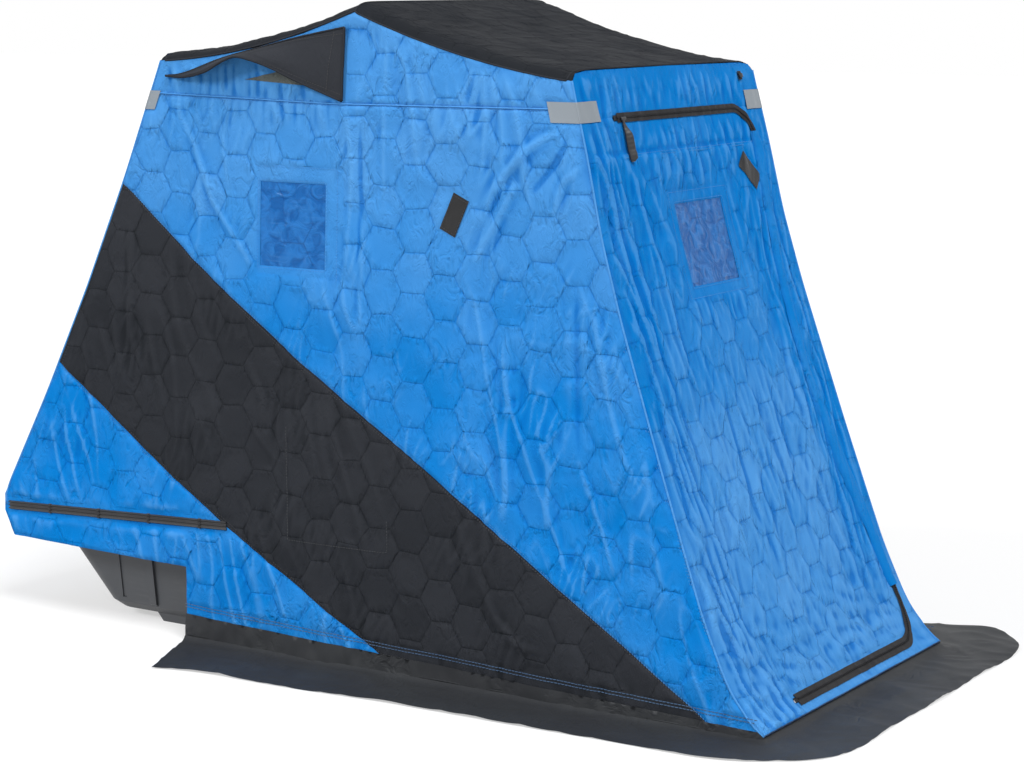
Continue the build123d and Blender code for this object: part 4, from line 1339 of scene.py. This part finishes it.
def sewn_patch(name, wall, node_name, material, body):
    """A small patch or tape that lies on the cloth, where its solid is."""
    made = bare_sheet(name, wall, regions_of(wall, [node_name]), material, step=0.004, lift=tape_lift)
    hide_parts(node_name)
    placed(made[0], body)


sewn_patch("side_hook_patch_cloth", side_walls["right"], "side_hook_patch", hook_cloth, "hut")
sewn_patch("door_hook_patch_cloth", front_wall, "door_hook_patch", hook_cloth, "door")
sewn_patch("frame_zip_tape_cloth", front_wall, "frame_zip_tape", tape_cloth, "hut")
sewn_patch("door_zip_tape_cloth", front_wall, "door_zip_tape", tape_cloth, "door")


# Zip teeth: two rows that mesh along the middle of the gap between the door and its frame
def rounded_offset(line, reach):
    """An open line moved sideways, to its right for a positive reach."""
    along = np.gradient(line, axis=0)
    along = along / np.hypot(along[:, 0], along[:, 1])[:, None]
    return line + np.stack([along[:, 1], -along[:, 0]], axis=1) * reach


def zip_line():
    """The zip's middle line on the front wall's cloth, from the hinge's top round to its foot."""
    loop = max(regions_of(front_wall, ["door_panel"])[0], key=lambda line: np.ptp(line[:, 1]))
    loop = loop[:-1]
    held = on_hinge(loop)
    first = next(k for k in range(len(loop)) if held[k] and not held[(k + 1) % len(loop)])
    turned = np.roll(loop, -first, axis=0)
    count = next(k for k in range(1, len(turned)) if held[(first + k) % len(loop)])
    line = turned[:count + 1]
    if front_wall.height(line[0, 1]) < front_wall.height(line[-1, 1]):
        line = line[::-1]
    return spread_along(line, 0.004)


zip_gap = 0.0025
zip_pitch = 0.0032
tooth_length = 0.0034
zip_route = zip_line()
middle_of_door = np.array([0.05, front_wall.along[-1] * 0.5])
outwards_test = rounded_offset(zip_route, 0.01)[len(zip_route) // 2] - middle_of_door
inwards_test = zip_route[len(zip_route) // 2] - middle_of_door
zip_way = 1.0 if np.hypot(*outwards_test) > np.hypot(*inwards_test) else -1.0


def zip_teeth(name, reach, start, body):
    """One row of teeth, with a tooth at every other place."""
    line = spread_along(rounded_offset(zip_route, zip_way * reach), zip_pitch)
    points, outwards = smooth_face(front_wall, line[:, 0], line[:, 1], tape_lift + 0.0012)
    corners = []
    faces = []
    for k in range(start + 6, len(points) - 6, 2):
        along = points[k + 1] - points[k - 1]
        along = along / np.linalg.norm(along)
        out = outwards[k]
        side = np.cross(along, out)
        first = len(corners)
        for rise, width in ((-0.0012, 1.0), (0.0010, 0.9), (0.0016, 0.45)):
            for a, b in ((-1, -1), (1, -1), (1, 1), (-1, 1)):
                corners.append(points[k] + along * a * 0.0013 * width + side * b * tooth_length / 2 * width
                               + out * rise)
        for low in (first, first + 4):
            for m in range(4):
                n = (m + 1) % 4
                faces.append((low + m, low + n, low + 4 + n, low + 4 + m))
        faces.append((first + 8, first + 9, first + 10, first + 11))
    placed(make_object(name, corners, faces, tape_cloth), body)


zip_teeth("zip_teeth_frame", zip_gap + 0.0009, 0, "hut")
zip_teeth("zip_teeth_door", zip_gap - 0.0009, 1, "door")

# A narrow strip behind the teeth closes the gap between the two tapes
guard_line = rounded_offset(zip_route, zip_way * zip_gap)
guard_places, guard_outwards = smooth_face(front_wall, guard_line[:, 0], guard_line[:, 1], 0.0004)
zip_guard = sweep("zip_guard", guard_places, guard_outwards, ring_profile(0.0070, 8, 0.10), tape_cloth)
placed(zip_guard, "hut")


# Flap of blue cloth over the zip's far side
flap_edge = [(0.425, 1.375), (0.405, 1.30), (0.395, 1.15), (0.370, 1.00), (0.355, 0.86), (0.350, 0.72),
             (0.360, 0.58), (0.385, 0.45), (0.420, 0.33), (0.435, 0.24), (0.445, 0.17)]
flap_cover = 0.022
flap_columns = 16


def zip_flap():
    """A pleated strip, sewn beyond the zip and free along its near edge."""
    edge = smooth_curve(flap_edge, 180)
    far_side = zip_route[zip_route[:, 0] > 0.3]
    far_side = far_side[np.argsort(far_side[:, 1])]
    grid = []
    for y, z in edge:
        v = float(front_wall.v_at(z))
        zip_u = float(np.interp(v, far_side[:, 1], far_side[:, 0]))
        base = min(zip_u + flap_cover, float(half_width(z)) - 0.006)
        free = min(y, zip_u - flap_cover)
        for column in range(flap_columns + 1):
            share = column / flap_columns
            grid.append((free + (base - free) * share, v, share))
    u, v, share = np.array(grid).T
    ripple = 0.0022 * noise(v / 0.055, u / 0.2, 91) * (1 - share)
    over_zip = np.sin(math.pi * np.clip(share, 0, 1)) ** 0.5
    lift = 0.0085 * over_zip + 0.0030 * (1 - share) + 0.0010 + ripple
    lift = np.where(share < 0.04, lift - 0.003, lift)
    points, outwards = smooth_face(front_wall, u, v, lift)
    faces = facing(grid_faces(len(edge) - 1, flap_columns), points, (1, 0, 0))
    obj = make_object("zip_flap_cloth", points, faces, blue_cloth)
    # Painted shade: the flap takes a dark tone, like the far column of the front wall beside it
    plain_attributes(obj, 0.9)
    placed(obj, "hut")


zip_flap()


# Vent hoods: a flap sewn along its upper and front edges, with its lower edge propped out
hood_top = [(-0.712, 1.520), (-0.649, 1.529), (-0.524, 1.569), (-0.398, 1.599), (-0.269, 1.628),
            (-0.128, 1.654)]
hood_free = [(-0.712, 0.002, 1.520), (-0.640, 0.012, 1.519), (-0.558, 0.030, 1.534), (-0.489, 0.045, 1.562),
             (-0.440, 0.052, 1.576), (-0.394, 0.049, 1.569), (-0.339, 0.037, 1.551), (-0.256, 0.020, 1.515),
             (-0.131, 0.004, 1.469)]
hood_steps = 70
hood_rows = 24
hood_hem = 0.012


def vent_hood(side_name, side_wall):
    """A curved flap between its sewn top edge and its free edge, with a doubled hem."""
    top = smooth_curve(hood_top, hood_steps)
    free = smooth_curve(hood_free, hood_steps)
    side = side_wall.side
    corners = []
    seams = []
    for row in range(hood_rows + 1):
        t = row / hood_rows
        for k in range(hood_steps):
            x = top[k, 0] + (free[k, 0] - top[k, 0]) * t
            z = top[k, 1] + (free[k, 2] - top[k, 1]) * t
            stand = 0.004 + free[k, 1] * (math.sin(t * math.pi / 2) ** 1.3)
            wave = float(noise(np.array([x / 0.11]), np.array([t / 0.6]), 73)[0])
            stand += 0.004 * math.sin(math.pi * t) * wave
            corners.append((x, side * (float(half_width(z)) + stand), z))
            to_edge = min(t, 1 - t) * abs(top[k, 1] - free[k, 2])
            seams.append(min(to_edge, (hood_steps - 1 - k) * 0.008))
    points = np.array(corners)
    faces = facing(grid_faces(hood_rows, hood_steps - 1), points, (0, side, 0), sample=5)
    obj = make_object(f"vent_hood_cloth_{side_name}", points, faces, black_cloth)
    plain_attributes(obj, 0.1, np.abs(np.array(seams) - hood_hem))
    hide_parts(f"vent_hood_{side_name}")
    placed(obj, "hut")
    edges = ((points[-hood_steps:], 0.0032), (points[hood_steps - 1::hood_steps], 0.0036),
             (points[:hood_steps], 0.0024))
    hems = [sweep("hem", edge, (0, side, 0), ring_profile(radius), black_cloth) for edge, radius in edges]
    plain_attributes(join(f"vent_hood_hem_{side_name}", hems, "hut"))
    grid = points.reshape(hood_rows + 1, hood_steps, 3) + np.array([0.0, side * 0.0008, 0.0])
    rows = [(line, (0, side, 0)) for line in (grid[2], grid[hood_rows - 2], grid[:, hood_steps - 4])]
    stitches(f"vent_hood_stitches_{side_name}", rows, black_thread, "hut")


for side_name, side_wall in side_walls.items():
    vent_hood(side_name, side_wall)
    mesh_regions = regions_of(side_wall, [f"vent_mesh_{side_name}"])
    made = bare_sheet(f"vent_mesh_cloth_{side_name}", side_wall, mesh_regions, vent_cloth, 0.006, mesh_lift)
    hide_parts(f"vent_mesh_{side_name}")
    declare(made, "hut")


# Skirt: bare cloth sewn to the hem, which turns outwards and lies on the ground
class Ground:
    """The ground beside the hut, where the skirt lies in low wrinkles."""

    outward = (0, 0, 1)
    turn = 1
    seed = 83
    pads = []

    def flat(self, points):
        return points[:, :2].copy()

    def from_hem(self, u, v):
        return np.maximum(np.maximum(np.abs(v) - side_base, u - front_profile[0, 1]), 0)

    def place(self, u, v):
        rise = 0.016 * np.exp(-self.from_hem(u, v) / 0.012)
        return np.stack([u, v, 0.0012 + rise], axis=1)

    def border(self, u, v):
        return ease(self.from_hem(u, v), 0, 0.03)

    def folds(self, u, v):
        wide = 0.006 * np.maximum(noise(u / 0.24, v / 0.15, self.seed) + 0.15, 0)
        small = 0.0028 * creases(u / 0.11, v / 0.07, self.seed + 1)
        return wide + small

    def quilt_share(self, u, v):
        return np.zeros(len(u))

    def shade(self, u, v):
        return np.zeros(len(u))


ground = Ground()
for piece in ("skirt_left", "skirt_right", "skirt_front"):
    made = bare_sheet(f"{piece}_cloth", ground, regions_of(ground, [piece]), skirt_cloth, step=0.012)
    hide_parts(piece)
    declare(made, "hut")
front_lap_top = front_wall.v_at(0.021)
laps = [(name, wall, regions_of(wall, [f"skirt_{name}"])) for name, wall in side_walls.items()]
laps.append(("front", front_wall, [[np.stack([line[:, 0], np.minimum(line[:, 1], front_lap_top)], axis=1)
                                    for line in loops] for loops in regions_of(front_wall, ["skirt_front"])]))
for name, wall, regions in laps:
    made = bare_sheet(f"skirt_lap_{name}", wall, regions, skirt_cloth, lift=lap_lift)
    placed(made[0], "hut")


# Welts: narrow rolled seams along the hut's corners and round the roof
def wall_line(wall, line, step=0.012, lift=0.0):
    """Places on a wall's cloth along a line of cloth points, and the way they face."""
    flat = spread_along(line, step)
    return smooth_face(wall, flat[:, 0], flat[:, 1], lift)


def frame_rows(wall, opening, reaches):
    """Stitched rows round a window's opening, each a little further out."""
    return [wall_line(wall, rectangle(*(opening.min(axis=0) - reach), *(opening.max(axis=0) + reach)),
                      lift=stitch_lift) for reach in reaches]


welts = []
black_welts = []
front_top_z = float(roof_edge_z(np.array([roofs["roof_front"].high_x]))[0])
rear_top_z = float(roof_edge_z(np.array([roofs["roof_rear"].low_x]))[0])
for side_wall in side_walls.values():
    for profile, way, low_z, high_z in ((front_profile, 1, 0.02, front_top_z),
                                        (rear_profile, -1, 0.30, rear_top_z)):
        line = corner_line(side_wall, profile, low_z, high_z)
        welts.append(sweep("welt", line, (way, side_wall.side, 0), ring_profile(welt_radius), blue_cloth))
    x = np.linspace(roofs["roof_rear"].low_x, roofs["roof_front"].high_x, 130)
    z = roof_edge_z(x)
    line = np.stack([x, side_wall.side * half_width(z), z], axis=1)
    black_welts.append(sweep("welt", line, (0, side_wall.side, 1), ring_profile(welt_radius), black_cloth))
roof_front, roof_rear = roofs["roof_front"], roofs["roof_rear"]
for roof, at_x in ((roof_front, roof_front.high_x), (roof_rear, roof_rear.low_x),
                   (roof_front, roof_front.low_x)):
    edge_half = float(half_width(roof.edge_z(at_x)))
    u = np.linspace(-edge_half, edge_half, 120)
    v = np.full(120, np.interp(at_x, roof.lines, roof.along))
    black_welts.append(sweep("welt", roof.place(u, v), (0, 0, 1), ring_profile(welt_radius), black_cloth))
for side_name, side_wall in side_walls.items():
    header_loop = side_regions[side_name]["side_header"][0][0]
    lower = header_loop[header_loop[:, 1] < 1.50]
    lower = lower[np.argsort(lower[:, 0])]
    places, outwards = wall_line(side_wall, lower, lift=0.0002)
    welts.append(sweep("piping", places, outwards, ring_profile(piping_radius), blue_cloth))
# Painted highlight: the blue welts and piping take a light tone along the rolled seams
plain_attributes(join("corner_welts", welts, "hut"), 0.1)
plain_attributes(join("roof_welts", black_welts, "hut"))


# Rows of stitches
blue_rows = []
black_rows = []
hem_rows = []
for side_name, side_wall in side_walls.items():
    for piece, rows in (("side_panel", blue_rows), ("side_lower_panel", blue_rows), ("side_sash", black_rows)):
        for loop in side_regions[side_name][piece][0][:1]:
            for inset in (0.006, 0.013):
                centre = loop.mean(axis=0)
                shrunk = loop + (centre - loop) / np.linalg.norm(centre - loop, axis=1)[:, None] * inset
                rows.append(wall_line(side_wall, shrunk, lift=stitch_lift))
    blue_rows += frame_rows(side_wall, side_opening, (0.005, 0.040))
    pocket = [(-0.299, 0.618), (-0.291, 0.320), (0.027, 0.324), (0.026, 0.410)]
    black_rows.append(wall_line(side_wall, pocket, lift=0.0062))
    for rise in hem_rises:
        hem = [(x, hem_height(x) + rise) for x in (hem_rear[0], 1.09)]
        hem_rows.append(wall_line(side_wall, hem, lift=0.0012))
stitches("panel_stitches", blue_rows, blue_thread, "hut")
stitches("sash_stitches", black_rows, black_thread, "hut")
stitches("hem_stitches", hem_rows, pale_thread, "hut", length=0.0085, gap=0.0018, width=0.0011)
seam_v = float(front_wall.v_at(front_seam_z))
door_rows = [wall_line(front_wall, [(-0.305, seam_v - drop), (0.385, seam_v - drop)], lift=0.0008)
             for drop in (0.008, 0.015)]
door_rows += frame_rows(front_wall, door_opening, (0.005, 0.030))
stitches("door_stitches", door_rows, blue_thread, "door")
patch_inset = 0.12
for body, wall in (("hut", side_walls["right"]), ("door", front_wall)):
    patch_edge = wall.pads[0]
    sewn_edge = patch_edge + (patch_edge[:-1].mean(axis=0) - patch_edge) * patch_inset
    patch_rows = [wall_line(wall, sewn_edge, step=0.004, lift=tape_lift + 0.0006)]
    stitches(f"{body}_patch_stitches", patch_rows, black_thread, body)


# Edge band: a ridged strip that clamps the cloth to the sled's rim, round the rear and along both sides
band_corner = 0.030
band_stand = 0.0015
clip_spacing = 0.18
band_profile = [(-0.012, -0.004), (-0.012, 0.001), (-0.0095, 0.004), (-0.006, 0.001), (-0.003, 0.001),
                (0.0, 0.0045), (0.003, 0.001), (0.006, 0.001), (0.0095, 0.004), (0.012, 0.001), (0.012, -0.004)]


def band_line():
    """The band's route: forwards along each side from a rounded corner at the rear."""
    rear_x = band_low[0] + 0.004
    half = float(half_width(band_middle(rear_x))) + band_stand
    flat = []
    for angle in np.linspace(0, math.pi / 2, 10):
        flat.append((rear_x + band_corner * (1 - math.cos(angle)), half - band_corner * (1 - math.sin(angle))))
    sides = [(x, float(half_width(band_middle(x))) + band_stand)
             for x in np.linspace(rear_x + band_corner + 0.01, band_high[0], 60)]
    across = [(rear_x, y) for y in np.linspace(-half + band_corner + 0.01, half - band_corner - 0.01, 60)]
    left = flat + sides
    right = [(x, -y) for x, y in reversed(left)]
    line = right + across + left
    return np.array([(x, y, band_middle(x)) for x, y in line])


band_points = band_line()
band_tangent = np.gradient(band_points, axis=0)
band_outward = np.cross(band_tangent, (0, 0, 1))
if band_outward[5, 1] > 0:
    band_outward = -band_outward
band_parts = [sweep("edge_band_strip", band_points, band_outward, band_profile, band_plastic, smooth=False)]
band_route = spread_along(np.hstack([band_points, band_outward]), 0.004)
clip_profile = [(s * 1.12, 0.0012 + h * 1.10) for s, h in band_profile]
for first in range(int(clip_spacing / 0.008), len(band_route) - 3, int(clip_spacing / 0.004)):
    clip = band_route[first:first + 3]
    band_parts.append(sweep("clip", clip[:, :3], clip[:, 3:], clip_profile, hook_cloth, smooth=False))
band = join("edge_band_strip", band_parts, "hut")
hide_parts("edge_band")


# Zip puller: a slider and a ribbed tab, which hangs turned a little out from the cloth
puller_turn = math.radians(45)


def zip_puller():
    """The puller hangs from the zip's near end and rests on the cloth."""
    low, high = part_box("zip_pull")
    middle_y = (low[1] + high[1]) / 2
    top_v, low_v = front_wall.v_at((high[2], low[2]))
    v = np.linspace(top_v, low_v, 40)
    share = np.linspace(0, 1, 40)
    u = middle_y + 0.004 * share
    turned = puller_turn * ease(share, 0.05, 0.35)
    points, outwards = smooth_face(front_wall, u, v, 0.0050)
    widths = np.where(share < 0.12, 0.0035, 0.0050 + 0.0055 * ease(share, 0.12, 0.45))
    widths = widths * (1 - 0.5 * ease(share, 0.93, 1.0))
    ribs = 0.0006 * (np.sin(share * 60) > 0.3) * (share > 0.25)
    sideways = np.cross(unit(np.gradient(points, axis=0)), outwards)
    sideways = sideways * np.sign(sideways[:, 1:2])
    points = points + outwards * (widths * np.sin(turned))[:, None]
    turned = turned[:, None]
    sideways, outwards = (sideways * np.cos(turned) + outwards * np.sin(turned),
                          outwards * np.cos(turned) - sideways * np.sin(turned))
    corners = []
    around = 12
    for k in range(len(points)):
        for m in range(around):
            angle = 2 * math.pi * m / around
            wide = widths[k] * math.copysign(abs(math.cos(angle)) ** 0.6, math.cos(angle))
            high_side = (0.0026 + ribs[k]) * math.copysign(abs(math.sin(angle)) ** 0.6, math.sin(angle))
            corners.append(points[k] + sideways[k] * wide + outwards[k] * high_side)
    tab = make_object("tab", corners, tube_faces(len(points), around), band_plastic)
    slider_line = smooth_face(front_wall, np.linspace(middle_y - 0.006, middle_y + 0.012, 12),
                              np.full(12, top_v + 0.001), 0.005)
    slider = sweep("slider", *slider_line, ring_profile(0.0048, 10, 0.6), bracket_paint)
    puller = join("zip_puller", [tab, slider], "door")
    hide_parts("zip_pull")


zip_puller()


# Roof clip: a webbing loop and a buckle at the far front corner
def roof_clip():
    """A small side-release buckle on a short webbing loop."""
    low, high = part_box("roof_clip")
    middle_y = np.full(14, (low[1] + high[1]) / 2)
    v = front_wall.v_at(np.linspace(high[2], low[2], 14))
    webbing = sweep("webbing", *smooth_face(front_wall, middle_y, v, 0.004), ring_profile(0.010, 10, 0.12),
                    tape_cloth)
    points, outwards = smooth_face(front_wall, middle_y, v, 0.007)
    buckle = sweep("buckle", points[4:11], outwards[4:11], ring_profile(0.009, 12, 0.34), band_plastic)
    clip = join("roof_clip_buckle", [webbing, buckle], "hut")
    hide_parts("roof_clip")


roof_clip()


# Finish of the solids that show as they are
def dress(node_name, material):
    """Give a solid its finish."""
    mesh = nodes[node_name].data
    for place in range(len(mesh.materials)):
        mesh.materials[place] = material


for piece in ("front_bow", "middle_bow", "rear_bow", "ground_bow"):
    dress(piece, frame_paint)
for piece in ("pivot_bracket_left", "pivot_bracket_right"):
    dress(piece, bracket_paint)
dress("sled_hull", sled_plastic)


# Floor, light and camera
def pale_floor():
    """A large pale sheet that catches a soft shadow and looks nearly white to the camera."""
    reach = 40.0
    steps = 8
    places = np.linspace(-reach, reach, steps + 1)
    corners = [(x, y, 0.0) for y in places for x in places]
    material, tree, shader = new_material("floor", Base_Color=(0.50, 0.50, 0.50, 1.0), Roughness=0.9,
                                          Emission_Color=(1.0, 1.0, 1.0, 1.0))
    feed(tree, shader, Emission_Strength=maths(tree, "MULTIPLY", seen_rays(tree), 0.50))
    floor = make_object("studio_floor", corners, grid_faces(steps, steps), material, smooth=False)


pale_floor()

world = bpy.data.worlds.new("studio")
bpy.context.scene.world = world
world.use_nodes = True
sky_tree = world.node_tree
feed(sky_tree, sky_tree.nodes["Background"], Color=(1.0, 1.0, 1.0, 1.0),
     Strength=smooth_range(sky_tree, seen_rays(sky_tree), 0.0, 1.0, 0.42, 1.0))


def lamp(name, toward, strength, angle):
    """A distant soft lamp that shines along a direction."""
    data = bpy.data.lights.new(name, "SUN")
    data.energy = strength
    data.angle = angle
    obj = bpy.data.objects.new(name, data)
    obj.rotation_mode = "QUATERNION"
    obj.rotation_quaternion = Vector(toward).to_track_quat("-Z", "Y")
    bpy.context.scene.collection.objects.link(obj)


lamp("key_lamp", (0.46, 0.70, -0.55), 1.62, 0.30)
lamp("front_lamp", (-0.55, 0.30, -0.78), 2.10, 0.45)

camera_data = bpy.data.cameras.new("camera")
camera_data.sensor_width = sensor_width
camera_data.lens = focal_pixels * sensor_width / image_width
camera_data.clip_end = 200.0
camera = bpy.data.objects.new("camera", camera_data)
bpy.context.scene.collection.objects.link(camera)
forward = Vector((math.cos(camera_yaw) * math.cos(camera_pitch), math.sin(camera_yaw) * math.cos(camera_pitch),
                  math.sin(camera_pitch)))
right = Vector((math.sin(camera_yaw), -math.cos(camera_yaw), 0.0))
up = right.cross(forward)
rolled_right = right * math.cos(camera_roll) + up * math.sin(camera_roll)
rolled_up = -right * math.sin(camera_roll) + up * math.cos(camera_roll)
turn = Matrix((rolled_right, rolled_up, -forward)).transposed().to_4x4()
camera.matrix_world = Matrix.Translation(camera_place) @ turn
bpy.context.scene.camera = camera
bpy.context.scene.view_settings.view_transform = "Standard"
